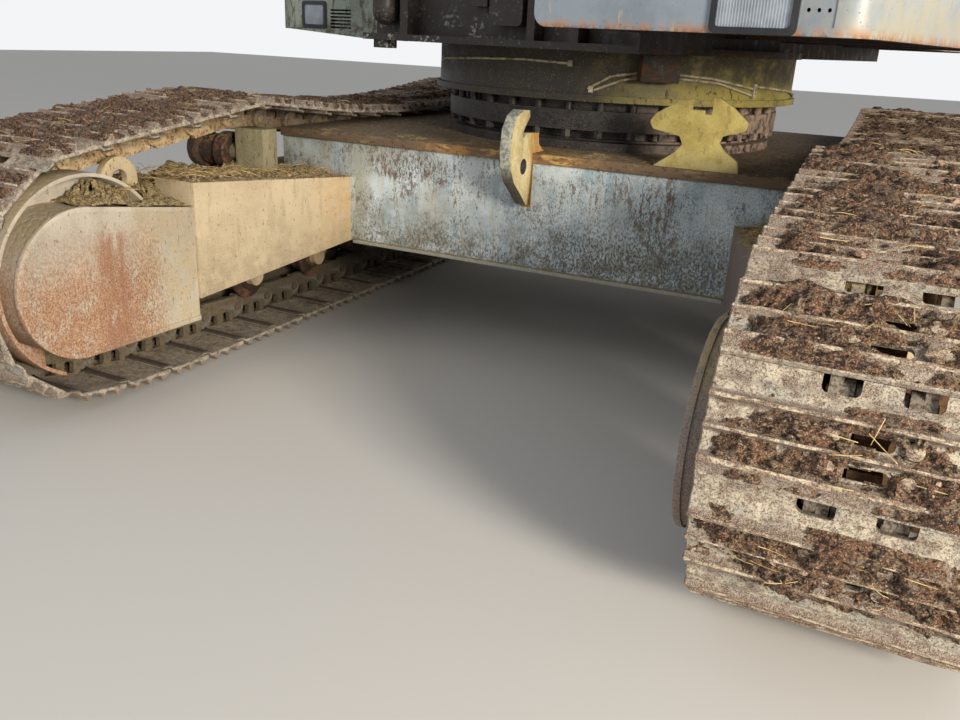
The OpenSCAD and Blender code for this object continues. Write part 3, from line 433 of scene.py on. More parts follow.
@finish("greasy_olive_enamel", "#6A6130", 0.6)
def drum_paint(f):
    """Olive yellow enamel of the drum, darker towards the left, greasy dark at the top."""
    f.lay(f.mottle(90, 0.4, 0.62, (2, 2, 1)), "#8A7E36", 0.6)
    f.lay(f.level(0.50, 0.05, "X"), "#1B1916", 0.5, share=0.95)
    f.lay(f.both(f.level(0.45, 0.0, "X"), f.mottle(60, 0.42, 0.6, seed=2)), "#181613", 0.45, share=0.8)
    f.lay(f.both(f.level(1.10, 1.17), f.mottle(60, 0.25, 0.6, seed=4)), "#2E291E", 0.7, share=0.9)
    f.lay(f.mottle(14, 0.56, 0.66, (1, 1, 2), seed=6), "#4A3A22", 0.8, 0.3)
    f.lay(f.mottle(5, 0.6, 0.68, seed=8), "#A5906A", 0.8, share=0.6)


@finish("greasy_brown_enamel", "#1F1914", 0.6)
def platform_paint(f):
    """Frame and underside of the platform: black grease and dust, brown where dry, white chips low down."""
    f.lay(f.mottle(130, 0.4, 0.64), "#2B231B", 0.7)
    f.lay(f.both(f.level(0.15, 0.9, "X"), f.mottle(160, 0.34, 0.62, seed=2)), "#4C3722", 0.85, share=0.85)
    f.lay(f.mottle(40, 0.5, 0.64, (1, 1, 2), seed=3), "#171411", 0.45)
    patch = f.both(f.level(0.30, -0.15, "X"), f.mottle(120, 0.50, 0.60, seed=15))
    f.lay(f.both(f.level(1.40, 1.28), patch, f.mottle(12, 0.50, 0.60, (2, 1, 1), seed=5)),
          "#A5A49B", 0.7, share=0.85)
    f.lay(f.mottle(7, 0.64, 0.69, (1, 1, 2), seed=6), "#8E8A80", 0.7, share=0.7)
    f.lay(f.both(f.level(0.1, 0.5, "X"), f.level(1.28, 1.24), f.mottle(14, 0.50, 0.62, (5, 5, 1), seed=7)),
          "#6A4526", 0.85, 0.3, 0.7)


@finish("bluish_white_enamel", "#838F9A", 0.35)
def panel_paint(f):
    """Bluish white enamel on the cab side's panels, rusting along the lower edge."""
    f.lay(f.mottle(150, 0.42, 0.66), "#76828D", 0.4)
    f.lay(f.both(f.level(0.9, 1.25, "X"), f.mottle(90, 0.3, 0.6, seed=9)), "#A89E7E", 0.5, share=0.75)
    f.lay(f.both(f.level(1.345, 1.305), f.mottle(34, 0.38, 0.6, (1, 1, 1.6), seed=2)),
          "#A8754A", 0.85, 0.3, 0.9)
    f.lay(f.both(f.level(1.325, 1.30), f.mottle(14, 0.4, 0.56, seed=4)), "#5E3A28", 0.9, 0.3)
    f.lay(f.mottle(26, 0.62, 0.68, (1, 1, 4), seed=6), "#A99C84", 0.6, share=0.7)
    f.lay(f.mottle(7, 0.66, 0.7, seed=8), "#4A3B30", 0.8, 0.2, 0.9)


@finish("grey_green_enamel", "#8F9A8C", 0.6)
def far_panel_paint(f):
    """Grey-green enamel on the far side, dusty with brown stains."""
    f.lay(f.mottle(90, 0.4, 0.6), "#7D867A", 0.65)
    f.lay(f.mottle(28, 0.54, 0.64, (1, 1, 2), seed=3), "#5A5546", 0.8, 0.2)
    f.lay(f.both(f.level(1.33, 1.27), f.mottle(30, 0.4, 0.6, seed=5)), "#4A3B2C", 0.85, share=0.8)
    f.lay(f.mottle(8, 0.6, 0.66, seed=7), "#C7C9BE", 0.6, share=0.6)


@finish("worn_olive_yellow_enamel", "#958543", 0.5)
def lock_paint(f):
    """Olive yellow enamel on the lock plate, sun-bleached, dusty at its foot."""
    f.lay(f.mottle(60, 0.4, 0.62), "#A99A55", 0.55)
    f.lay(f.mottle(22, 0.54, 0.66, (1, 1, 2), seed=3), "#86753A", 0.7)
    f.lay(f.both(f.level(0.96, 0.87), f.mottle(40, 0.3, 0.6, seed=5)), "#B8AA7A", 0.85, share=0.8)
    f.lay(f.mottle(6, 0.62, 0.68, seed=7), "#8A6E3A", 0.8, 0.2, 0.8)
    f.lay(f.mottle(3, 0.4, 0.7, seed=9), "#CFC184", None, 0.1, 0.35)


@finish("chipped_cream_enamel", "#C3B280", 0.5)
def lug_paint(f):
    """Cream yellow enamel on the tow lugs: grey chipped edges, painted shade in the pin hole, orange rust at
    the root.
    """
    f.lay(f.mottle(40, 0.42, 0.62), "#D6C89C", 0.5)
    edge = f.between(f.part(f.facing, "X"), 0.75, 0.35)
    f.lay(edge, "#A3A294", 0.6, share=0.9)
    f.lay(f.both(edge, f.mottle(16, 0.46, 0.56, seed=6)), "#65706C", 0.6, share=0.85)
    f.lay(f.both(edge, f.level(0.84, 0.78)), "#453D33", 0.85, 0.2, 0.85)
    f.lay(f.both(f.level(-1.02, -0.965, "Y"), f.mottle(22, 0.36, 0.58, (1, 1, 2), seed=3)),
          "#BE8636", 0.8, 0.3, 0.9)
    f.lay(f.mottle(5, 0.62, 0.68, seed=9), "#5A4A30", 0.85, 0.2, 0.9)
    # Painted shade: a dark disc over each pin hole and its bore.
    flat = add(f.tree, "CombineXYZ", {"Y": f.from_zero(f.place, "Y"), "Z": f.part(f.place, "Z")})
    apart = add(f.tree, "VectorMath", {0: flat.outputs[0], 1: LUG_HOLE}, operation="DISTANCE")
    f.lay(f.between(apart.outputs["Value"], 0.0300, 0.0284), "#2E2C28", 0.8, share=0.92)


@finish("dusty_black_rubber", "#181B20", 0.6)
def black_rubber(f):
    """Black moulded rubber with dust."""
    f.lay(f.mottle(30, 0.45, 0.7), "#2A2C30", 0.8, share=0.6)


@finish("dusty_painted_pipe", "#A59C80", 0.5)
def pipe_paint(f):
    """Small steel pipes, painted and dusty."""
    f.lay(f.mottle(40, 0.44, 0.62), "#6E664E", 0.65)
    f.lay(f.mottle(10, 0.55, 0.65, seed=3), "#D0C8AE", 0.5, share=0.7)


@finish("ribbed_clear_lens", "#757E8A", 0.15)
def lens_glass(f):
    """Moulded clear lamp lens over its reflector: smooth glass with fine ribs that catch the light."""
    f.lay(f.mottle(60, 0.4, 0.7), "#98A2AE", 0.10, share=0.8)
    wave = add(f.tree, "TexWave", {"Vector": f.place, "Scale": 40.0}, wave_type="BANDS", bands_direction="X")
    f.lay(f.between(wave.outputs["Fac"], 0.3, 0.9), "#B4BDC8", 0.10, 0.4, 0.5)
    f.lay(f.mottle(12, 0.6, 0.7, seed=3), "#8A8474", 0.5, share=0.5)


@finish("dry_straw", "#C7AE7A", 0.8)
def straw_dry(f):
    """Dry stalks blown into the dirt, pale straw to grey."""
    f.lay(f.mottle(30, 0.4, 0.6), "#9C8658", 0.85)


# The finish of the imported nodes, by their names or by their names without the last word
NODE_FINISH = {name: material for material, names in (
    (beam_paint, "centre_frame"),
    (top_plate_rust, "centre_top_plate"),
    (greasy_steel, "ring_seat inner_race swivel_joint outer_race ring_bolt_rows slew_drive"),
    (lock_paint, "slew_lock_plate"),
    (lug_paint, "tow_lug"),
    (leg_paint, "track_frame idler_yoke roller_mounts"),
    (guard_paint, "motor_guard"),
    (rim_rust, "final_drive"),
    (sprocket_rust, "sprocket"),
    (roller_rust, "idler carrier_rollers track_rollers"),
    (bracket_paint, "carrier_brackets"),
    (shoe_steel, "track"),
    (drum_paint, "turntable_drum"),
    (platform_paint, "platform_centre boom_foot platform_side deck slew_lock_bracket"),
    (far_panel_paint, "front_panel_left"),
    (panel_paint, "front_panel_right"),
    (lens_glass, "lamps"),
    (pipe_paint, "grease_lines"),
) for name in names.split()}


def finish_of(node):
    """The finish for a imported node."""
    return NODE_FINISH[node if node in NODE_FINISH else node.rsplit("_", 1)[0]]()


# Making pieces
def opened(mesh):
    """A bmesh of a mesh."""
    bm = bmesh.new()
    bm.from_mesh(mesh)
    return bm


def closed(name, bm):
    """A new mesh from a bmesh, which ends there."""
    mesh = bpy.data.meshes.new(name)
    bm.to_mesh(mesh)
    bm.free()
    return mesh


def placed(name, data):
    """A new object at the origin, from a mesh, a camera or a light."""
    thing = bpy.data.objects.new(name, data)
    bpy.context.scene.collection.objects.link(thing)
    return thing


def piece(name, bm, material, body, replaces=(), crease=60):
    """Turns a bmesh into a finished piece that rides on a body."""
    for face in bm.faces:
        face.smooth = True
    mesh = closed(name, bm)
    mesh.set_sharp_from_angle(angle=math.radians(crease))
    mesh.materials.append(material)
    thing = placed(name, mesh)
    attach(thing, body)
    if replaces:
        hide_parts(*replaces)


def body_of(node):
    """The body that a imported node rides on."""
    return NODES[node]["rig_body"]


def rounded(bm, edges, radius, segments, clamp=False):
    """Rounds edges of a bmesh."""
    bmesh.ops.bevel(bm, geom=edges, offset=radius, segments=segments, profile=0.5, affect="EDGES",
                    clamp_overlap=clamp, material=-1)


def softened(node, bevel_mm, round_mm=0):
    """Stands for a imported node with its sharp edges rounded; round_mm rounds those along X more."""
    bm = opened(NODES[node].data)
    bmesh.ops.remove_doubles(bm, verts=bm.verts, dist=WELD)
    bmesh.ops.dissolve_degenerate(bm, edges=bm.edges, dist=WELD)
    if round_mm:
        bmesh.ops.dissolve_limit(bm, angle_limit=math.radians(1), verts=bm.verts, edges=bm.edges)
        across = [e for e in bm.edges if len(e.link_faces) == 2 and e.is_convex
                  and math.radians(15) < e.calc_face_angle() < math.radians(80)
                  and abs(e.verts[0].co.x - e.verts[1].co.x) > 0.99 * e.calc_length()]
        rounded(bm, across, round_mm / 1000, 4, True)
    sharp = [e for e in bm.edges if len(e.link_faces) == 2 and e.calc_face_angle() > math.radians(28)]
    rounded(bm, sharp, bevel_mm / 1000, 2, True)
    piece(node + "_skin", bm, finish_of(node), body_of(node), (node,), 30)


def bolt(bm, place, radius, height):
    """Adds a domed bolt head that stands up along the place's Z."""
    head = bmesh.ops.create_cone(bm, cap_ends=True, segments=12, radius1=radius, radius2=radius, depth=height,
                                 matrix=place @ Matrix.Translation((0, 0, height / 2)))["verts"]
    up = place.to_3x3() @ UP
    reach = max(v.co.dot(up) for v in head)
    rim = {e for v in head for e in v.link_edges if all(w.co.dot(up) > reach - 1e-5 for w in e.verts)}
    rounded(bm, list(rim), radius * 0.45, 3)


def pull(bm, faces, along):
    """Draws faces out by a vector and returns the faces at the far end."""
    grown = bmesh.ops.extrude_face_region(bm, geom=faces)["geom"]
    bmesh.ops.translate(bm, verts=[g for g in grown if isinstance(g, bmesh.types.BMVert)], vec=along)
    return [g for g in grown if isinstance(g, bmesh.types.BMFace)]


def cutter(bm, centre, size, axis, radius, segments, where=None):
    """Adds a box to cut with; its edges along an axis are rounded, or those that where picks.

    A radius of 0 leaves them square.
    """
    place = Matrix.Translation(centre) @ Matrix.Diagonal((*size, 1))
    fresh = set(bmesh.ops.create_cube(bm, size=1, matrix=place)["verts"])
    edges = []
    for e in bm.edges:
        a, b = (v.co for v in e.verts)
        if set(e.verts) <= fresh and abs(a[axis] - b[axis]) > 0.05 and (where is None or where(a)):
            edges.append(e)
    if radius:
        rounded(bm, edges, radius, segments)


def cut(name, bm, holes):
    """Cuts one bmesh out of another for good, and returns the mesh."""
    thing, tool = placed(name, closed(name, bm)), placed("holes", closed("holes", holes))
    hole = thing.modifiers.new("cut", "BOOLEAN")
    hole.operation = "DIFFERENCE"
    hole.solver = "EXACT"
    hole.object = tool
    bpy.context.view_layer.update()
    result = bpy.data.meshes.new_from_object(thing.evaluated_get(bpy.context.evaluated_depsgraph_get()))
    for old in (thing, tool):
        bpy.data.objects.remove(old)
    return result


# The chain's line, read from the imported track
def chain_places(side_name, sign):
    """One matrix for each link: X across, Y along the chain, Z outwards, its origin between its pins."""
    plane = sign * (TRACK_X + RAIL_OUTER)
    seen = {(round(v.co.y, 5), round(v.co.z, 5)) for v in NODES["track_" + side_name].data.vertices
            if abs(v.co.x - plane) < 0.0005}
    spots = [Vector(s) for s in seen]
    depth = LINK_OUT + LINK_IN
    pins = []
    for inner in spots:
        for outer in spots:
            if abs((outer - inner).length - depth) < 0.0004 and chain_reach(outer) > chain_reach(inner):
                pins.append(inner + (outer - inner) * LINK_IN / depth)
    pins.sort(key=lambda p: -math.atan2(p.y - AXLE_Z, p.x))
    spans = list(zip(pins, pins[1:] + pins[:1]))
    pitch = sorted((b - a).length for a, b in spans)[len(spans) // 4]
    places = []
    for a, b in spans:
        count = round((b - a).length / pitch)
        along = (b - a).normalized()
        for k in range(count):
            half = a + (b - a) * (k + 0.5) / count
            places.append(Matrix(((1, 0, 0, sign * TRACK_X), (0, along.x, -along.y, half.x),
                                  (0, along.y, along.x, half.y), (0, 0, 0, 1))))
    return places, pitch


def chain_reach(spot):
    """How far out a point of the chain lies from the line between the two axles."""
    return (spot - Vector((max(-AXLE_REACH, min(AXLE_REACH, spot.x)), AXLE_Z))).length


# The rolled profile of a shoe: share of the pitch along the chain, and height over the plate in millimetres
SHOE_LINE = (
    (-0.487, 1.5), (-0.455, 4), (-0.40, 11), (-0.352, 21), (-0.330, 25), (-0.310, 26), (-0.292, 25),
    (-0.276, 18), (-0.258, 6), (-0.238, 1.5), (-0.150, 0), (-0.062, 1.5), (-0.042, 6), (-0.026, 18),
    (-0.014, 25), (0, 26),
    (0.014, 25), (0.026, 18), (0.042, 6), (0.062, 1.5), (0.150, 0), (0.238, 1.5), (0.258, 6), (0.276, 18),
    (0.292, 25), (0.310, 26), (0.326, 24.5), (0.340, 18), (0.356, 6), (0.376, 1), (0.430, -1), (0.462, -5),
    (0.490, -13), (0.520, -18), (0.600, -20), (0.680, -21),
)
# Its mud holes and bolts, and the notches in its leading edge: shares of the pitch along it, metres across it
HOLE_U = 0.152
HOLE_SIZE = (0.078, 0.026, 0.08)
BOLT_X, BOLT_R, BOLT_H = 0.070, 0.0165, 0.016
NOTCH_X = (0.035, 0.105)
NOTCH_U = 0.510
# Into how many cells it is divided across, so that it can be dented
SHOE_CELLS = 10
# How high the shoe's finish takes its tails and its bolt heads to be, with 1 for a grouser's crest; the tails'
# value has painted shade laid on them
TAIL_SHADE_TONE, BOLT_TONE = -1.0, 0.9


def shoe_height(share):
    """Height of a shoe's outer face over its plate, in metres, at a share of the pitch along the chain."""
    for (u0, h0), (u1, h1) in zip(SHOE_LINE, SHOE_LINE[1:]):
        if share <= u1:
            return (h0 + (h1 - h0) * (share - u0) / (u1 - u0)) / 1000
    return SHOE_LINE[-1][1] / 1000


def shoe_template(pitch):
    """One triple-grouser shoe, its plate's outer face at Z = 0, with notched edge and oblong holes."""
    bm = bmesh.new()
    top = [Vector((0, u * pitch, h / 1000)) for u, h in SHOE_LINE]
    low = [Vector((0, u * pitch, min(h / 1000, 0) - SHOE_T)) for u, h in reversed(SHOE_LINE)
           if abs(u) > 0.42 or abs(u) in (0, 0.150)]
    bm.faces.new([bm.verts.new(p + Vector((-SHOE_W / 2, 0, 0))) for p in top + low])
    front = bm.faces[:]
    for step in range(SHOE_CELLS):
        old, front = front, pull(bm, front, (SHOE_W / SHOE_CELLS, 0, 0))
        if step and old[0].is_valid:
            bmesh.ops.delete(bm, geom=old, context="FACES_ONLY")
    bmesh.ops.recalc_face_normals(bm, faces=bm.faces)
    rounded(bm, [e for e in bm.edges if all(abs(abs(v.co.x) - SHOE_W / 2) < 1e-6 for v in e.verts)], 0.003, 1)
    holes = bmesh.new()
    for sign in (-1, 1):
        cutter(holes, (sign * sum(NOTCH_X) / 2, pitch * (NOTCH_U + 0.2), 0),
               (NOTCH_X[1] - NOTCH_X[0], pitch * 0.4, 0.10), 2, 0.012, 3, lambda co: co.y < pitch * 0.6)
    for sign in (-1, 1):
        cutter(holes, (0, sign * HOLE_U * pitch, 0), HOLE_SIZE, 2, 0.0125, 4, lambda co: co.x > 0)
    mesh = cut("shoe", bm, holes)
    bm = opened(mesh)
    plain = len(bm.verts)
    for sx in (-1, 1):
        for sy in (-1, 1):
            bolt(bm, Matrix.Translation((sx * BOLT_X, sy * HOLE_U * pitch, -0.001)), BOLT_R, BOLT_H)
    high = bm.verts.layers.float.new("height")
    for k, v in enumerate(bm.verts):
        steel = TAIL_SHADE_TONE if v.co.z < -0.025 else max(0.0, v.co.z / GROUSER)
        v[high] = steel if k < plain else BOLT_TONE
    bm.to_mesh(mesh)
    bm.free()
    return mesh


# A link: the radius of its eyes, the share of the pitch where its waist begins, and its windows' places as
# shares of the pitch, with their widths and corners' radii; then the pin's and bushing's radii and lengths
EYE_R = 0.037
WAIST_U = 0.34
WINDOWS = ((-0.165, 0.036, 0.010), (0.175, 0.040, 0))
PIN_AND_BUSHING = ((0.018, 0.196), (0.029, 0.090))


def link_template(pitch):
    """One link's two side bars with their nut windows, and its pin and bushing, on the pins' line."""
    bm = bmesh.new()
    half = pitch / 2
    waist = pitch * WAIST_U
    for side in (-1, 1):
        eyes = []
        for end in (-1, 1):
            turns = [math.radians(180 - 90 * end - 30 * i) for i in range(7)]
            eyes.append([(end * half + EYE_R * math.cos(turn), EYE_R * math.sin(turn)) for turn in turns])
        line = (eyes[0] + [(-waist, LINK_OUT - 0.001), (waist, LINK_OUT - 0.001)] + eyes[1]
                + [(half * 0.94, -LINK_IN + 0.001), (-half * 0.94, -LINK_IN + 0.001)])
        start = len(bm.verts)
        pull(bm, [bm.faces.new([bm.verts.new((0, u, w)) for u, w in line])], (1, 0, 0))
        bm.verts.ensure_lookup_table()
        for v in bm.verts[start:]:
            share = max(-1.0, min(1.0, v.co.y / waist))
            middle = 0.0815 - 0.0115 * (share + 1)
            thick = 0.0225 + 0.016 * (1 - abs(share) ** 2)
            v.co.x = side * (middle + (v.co.x - 0.5) * thick)
    bmesh.ops.recalc_face_normals(bm, faces=bm.faces)
    holes = bmesh.new()
    for u, wide, corner in WINDOWS:
        cutter(holes, (0, u * pitch, LINK_OUT - 0.028), (0.3, wide, 0.044), 0, corner, 3,
               lambda co: co.z < LINK_OUT - 0.03)
    mesh = cut("link", bm, holes)
    bm = opened(mesh)
    across = Matrix.Rotation(math.radians(90), 4, "Y")
    for radius, length in PIN_AND_BUSHING:
        bmesh.ops.create_cone(bm, cap_ends=True, segments=16, radius1=radius, radius2=radius, depth=length,
                              matrix=Matrix.Translation((0, -half, 0)) @ across)
    eye = bm.verts.layers.float.new("boss")
    for v in bm.verts:
        v[eye] = 1.0 if abs(v.co.y) > waist and v.co.z > 0.018 else 0.0
    bm.to_mesh(mesh)
    bm.free()
    return mesh


def stamped(template, places, lift, jitter=None):
    """Copies of a template mesh at every place, lifted outwards, in one bmesh."""
    bm = bmesh.new()
    for k, place in enumerate(places):
        start = len(bm.verts)
        bm.from_mesh(template)
        bm.verts.ensure_lookup_table()
        fresh = bm.verts[start:]
        if jitter:
            jitter(k, fresh)
        bmesh.ops.transform(bm, matrix=place @ Matrix.Translation((0, 0, lift)), verts=fresh)
    return bm


# Clay on a shoe: its grid's cells across and along, where it begins and how far it goes as shares of the
# pitch, and how high it may stand over the grousers
MUD_CELLS = (80, 40)
MUD_FROM, MUD_SPAN = -0.475, 0.93
MUD_OVER = 0.010


def mud_patch(place, pitch, seed, wealth):
    """Clay on one shoe: heights that fill the valleys, thin out at the rim and leave the holes open."""
    bm = bmesh.new()
    thick = bm.verts.layers.float.new("thick")
    grid = bmesh.ops.create_grid(bm, x_segments=MUD_CELLS[0], y_segments=MUD_CELLS[1], size=0.5)["verts"]
    for v in grid:
        share = MUD_FROM + (v.co.y + 0.5) * MUD_SPAN
        x = v.co.x * (SHOE_W - 0.006)
        u = share * pitch
        steel = shoe_height(share)
        spot = Vector((x, u, seed * 0.37))
        broad = noise.fractal(spot * 8, 1.0, 2.0, 3)
        lumps = noise.fractal(spot * 45 + Vector((3, 1, 7)), 0.7, 2.1, 4)
        crust = noise.fractal(spot * 190 + Vector((1, 9, 2)), 0.9, 2.0, 2)
        bare = max(0.0, abs(x) - 0.19) / 0.11
        rim = min(1.0, max(0.0, (0.5 - abs(v.co.y)) / 0.05), (0.5 - abs(v.co.x)) / 0.015)
        fill = wealth + 1.1 * broad - 0.8 * bare * bare - (0.5 if share > 0.36 else 0.0)
        off_hole = max(abs(x) - 0.032, 0) / 0.018 + max(abs(abs(u) - HOLE_U * pitch) - 0.008, 0) / 0.010
        off_hole = min(1.0, off_hole)
        high = (0.025 * fill + 0.012 * lumps + 0.0045 * crust) * (0.25 + 0.75 * off_hole)
        high = min(high - 0.016 * (1 - off_hole), GROUSER + MUD_OVER)
        high = steel - 0.004 + (high - steel + 0.004) * rim
        v[thick] = max(0.0, min(1.0, (high - steel) / 0.014))
        v.co = (x, u, max(high, steel - 0.0025))
        v.tag = high > steel - 0.0015
    bmesh.ops.delete(bm, geom=[f for f in bm.faces if not any(v.tag for v in f.verts)], context="FACES")
    bmesh.ops.transform(bm, matrix=place @ Matrix.Translation((0, 0, LINK_OUT + SHOE_T)), verts=bm.verts)
    return bm


# Over how many cells loose dirt thins out towards a rim or step, and the step that it doesn't cross
THIN_CELLS = 4
STEP_UP = 0.03


def settle(bm, grounds, low, high, cell, deep, fill, seed):
    """Loose dirt on what lies under a rectangle: thin at steps and rims, lumpy between."""
    cols, rows = (max(2, round((high[i] - low[i]) / cell)) for i in (0, 1))
    spots = {}
    for i in range(cols + 1):
        for j in range(rows + 1):
            x, y = low[0] + (high[0] - low[0]) * i / cols, low[1] + (high[1] - low[1]) * j / rows
            hits = [tree.ray_cast(Vector((x, y, high[2])), DOWN) for tree in grounds]
            hits = [hit for hit in hits if hit[0] is not None and hit[1].z > 0.5]
            if hits:
                spots[i, j] = max((hit[0] for hit in hits), key=lambda at: at.z)
    made = {}
    for (i, j), spot in spots.items():
        rim = THIN_CELLS
        for di in range(1 - THIN_CELLS, THIN_CELLS):
            for dj in range(1 - THIN_CELLS, THIN_CELLS):
                near, away = spots.get((i + di, j + dj)), max(abs(di), abs(dj))
                if near is None or abs(near.z - spot.z) > 0.012 + cell * away:
                    rim = min(rim, away)
        rim /= THIN_CELLS
        at = spot + Vector((seed * 3.1, seed * 1.7, seed))
        swell = fill + noise.fractal(at * 6, 1.0, 2.0, 3) + 0.35 * noise.fractal(at * 45, 0.7, 2.1, 3)
        lift = min(1.3, max(-0.3, swell)) * deep * rim - 0.002
        jog = Vector((noise.noise(at * 90), noise.noise(at * 90 + Vector((5, 5, 5))), 0)) * 0.003 * rim
        made[i, j] = bm.verts.new(spot + Vector((0, 0, lift)) + jog)
    for (i, j), corner in made.items():
        quad = [corner] + [made.get(at) for at in ((i + 1, j), (i + 1, j + 1), (i, j + 1))]
        if None not in quad and max(v.co.z for v in quad) - min(v.co.z for v in quad) < STEP_UP:
            bm.faces.new(quad)


def ground_of(*names):
    """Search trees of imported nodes, for dirt to settle on."""
    trees = []
    for name in names:
        mesh = NODES[name].data
        trees.append(BVHTree.FromPolygons([v.co for v in mesh.vertices], [p.vertices for p in mesh.polygons]))
    return trees


def crumb(bm, place, size):
    """One angular crumb or chip of stone, turned at random."""
    turn = Matrix.Rotation(random.uniform(0, 6.28), 4, "Z")
    turn = turn @ Matrix.Rotation(random.uniform(-0.6, 0.6), 4, "X")
    shape = Matrix.Diagonal((size, size * random.uniform(0.5, 0.95), size * 0.6, 1))
    made = bmesh.ops.create_icosphere(bm, subdivisions=1, radius=0.5,
                                      matrix=Matrix.Translation(place) @ turn @ shape)["verts"]
    for v in made:
        v.co += (v.co - place) * random.uniform(-0.28, 0.28)


def stalk(bm, place, length, radius, up):
    """One dry stalk that lies at random, a little bent."""
    heading = random.uniform(0, 6.28)
    along = Vector((math.cos(heading), math.sin(heading), 0))
    along = (along - up * along.dot(up) + up * random.uniform(-0.05, 0.35)).normalized()
    start = place - along * length / 2
    bend = up * length * random.uniform(-0.05, 0.16)
    side = along.orthogonal().normalized()
    rings = []
    for k in range(4):
        middle = start + along * (length * k / 3) + bend * (1 - (k / 1.5 - 1) ** 2)
        rings.append([bm.verts.new(middle + Matrix.Rotation(math.radians(120 * n), 3, along) @ side * radius)
                      for n in range(3)])
    for low, top in zip(rings, rings[1:]):
        for n in range(3):
            bm.faces.new((low[n], low[(n + 1) % 3], top[(n + 1) % 3], top[n]))


def join_in(target, source):
    """Moves one bmesh into another."""
    mesh = closed("joining", source)
    target.from_mesh(mesh)
    bpy.data.meshes.remove(mesh)


class UndercarriageSettings(bpy.types.PropertyGroup):
    """What a user would change."""
    mud: FloatProperty(name="Mud", description="How full of clay the shoes' valleys are",
                       default=0.55, min=0, max=1)
    shoe_dent: FloatProperty(name="Dents", description="How far worn grousers wander from straight",
                             default=0.0022, unit="LENGTH")
    crumbs: IntProperty(name="Crumbs", description="Clods and chips in the shoes of one track",
                        default=2600, min=0)
    stalks: IntProperty(name="Stalks", description="Dry stalks that lie in the dirt", default=420, min=0)
    edge: FloatProperty(name="Edge rounding", description="Rounding of plate edges, in millimetres",
                        default=2.5, min=0)
    floor_colour: FloatVectorProperty(name="Floor", description="Colour of the floor", subtype="COLOR",
                                      size=3, default=(0.60, 0.59, 0.57), min=0, max=1)


# The camera: yaw, pitch and roll in degrees, its place, its lens and the width of its sensor in millimetres
CAMERA_TURN = (25.13, 20.70, 2.81)
CAMERA_AT = (1.287, -4.045, 1.272)
CAMERA_LENS, CAMERA_SENSOR = 32.0, 36.0
# Lamps: name, place, size, watts and colour; all are aimed at one point
LAMPS = (
    ("key", (6.6, -6.0, 2.6), 1.8, 900, (1.0, 0.91, 0.78)),
    ("fill", (-2.5, -7.0, 4.5), 5.0, 60, (0.90, 0.95, 1.0)),
    ("back", (2.0, 6.5, 5.0), 8.0, 150, (1.0, 0.97, 0.92)),
)
AIM = Vector((0, -0.8, 0.5))
# How bright the pale background is as a light, and as the camera and mirrors see it
SKY_LIGHT, SKY_SEEN = 0.42, 0.93


class UNDERCARRIAGE_OT_stage(bpy.types.Operator):
    """Camera, floor, lamps and the plain pale background"""
    bl_idname = "undercarriage.stage"
    bl_label = "Stage"

    def execute(self, context):
        scene = context.scene
        yaw, pitch, roll = (math.radians(a) for a in CAMERA_TURN)
        ahead = Vector((-math.sin(yaw) * math.cos(pitch), math.cos(yaw) * math.cos(pitch), -math.sin(pitch)))
        right = Vector((math.cos(yaw), math.sin(yaw), 0))
        up = right.cross(ahead)
        turn = Matrix((right * math.cos(roll) + up * math.sin(roll),
                       up * math.cos(roll) - right * math.sin(roll), -ahead)).transposed()
        eye = placed("camera", bpy.data.cameras.new("camera"))
        eye.data.lens = CAMERA_LENS
        eye.data.sensor_width = CAMERA_SENSOR
        eye.matrix_world = Matrix.Translation(CAMERA_AT) @ turn.to_4x4()
        scene.camera = eye
        scene.view_settings.view_transform = "Standard"

        bm = bmesh.new()
        bmesh.ops.create_grid(bm, x_segments=1, y_segments=1, size=30)
        floor = placed("floor", closed("floor", bm))
        pale = bpy.data.materials.new("pale_floor")
        pale.use_nodes = True
        shader = pale.node_tree.nodes["Principled BSDF"]
        shader.inputs["Base Color"].default_value = (*scene.undercarriage.floor_colour, 1)
        shader.inputs["Roughness"].default_value = 0.9
        floor.data.materials.append(pale)

        world = bpy.data.worlds.new("soft_studio")
        world.use_nodes = True
        scene.world = world
        tree = world.node_tree
        path = add(tree, "LightPath")
        seen = path.outputs["Is Camera Ray"]
        for other in ("Is Glossy Ray", "Is Transmission Ray"):
            seen = add(tree, "Math", {0: seen, 1: path.outputs[other]}, operation="MAXIMUM").outputs[0]
        strength = add(tree, "MapRange", {"Value": seen, "To Min": SKY_LIGHT, "To Max": SKY_SEEN})
        sky = tree.nodes["Background"]
        sky.inputs["Color"].default_value = (0.97, 0.98, 1.0, 1)
        tree.links.new(strength.outputs["Result"], sky.inputs["Strength"])

        for name, place, size, watts, colour in LAMPS:
            lamp = placed(name, bpy.data.lights.new(name, "AREA"))
            lamp.data.size = size
            lamp.data.energy = watts
            lamp.data.color = colour
            turn = (AIM - Vector(place)).to_track_quat("-Z", "Y").to_matrix()
            lamp.matrix_world = Matrix.Translation(place) @ turn.to_4x4()
        return {"FINISHED"}


# Rounding of the tow lugs' hooks
HOOK_ROUND_MM = 12


class UNDERCARRIAGE_OT_finishes(bpy.types.Operator):
    """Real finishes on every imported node, and rounded edges on the plates that show"""
    bl_idname = "undercarriage.finishes"
    bl_label = "Finishes"

    def execute(self, context):
        for name, node in NODES.items():
            node.data.materials.clear()
            node.data.materials.append(finish_of(name))
        plates = ["centre_frame", "centre_top_plate", "slew_lock_plate", "tow_lug_rear", "tow_lug_front",
                  "slew_lock_bracket"]
        for name in SIDES:
            plates += [f"track_frame_{name}", f"motor_guard_{name}", f"carrier_brackets_{name}"]
        for node in plates:
            softened(node, context.scene.undercarriage.edge, HOOK_ROUND_MM if "lug" in node else 0)
        return {"FINISHED"}


# The fewest links that a whole chain has, and how far outwards a shoe faces up where no clay hangs on it and
# where most of it lies
LINKS_LEAST = 40
HANGING, LEVEL = -0.75, 0.97


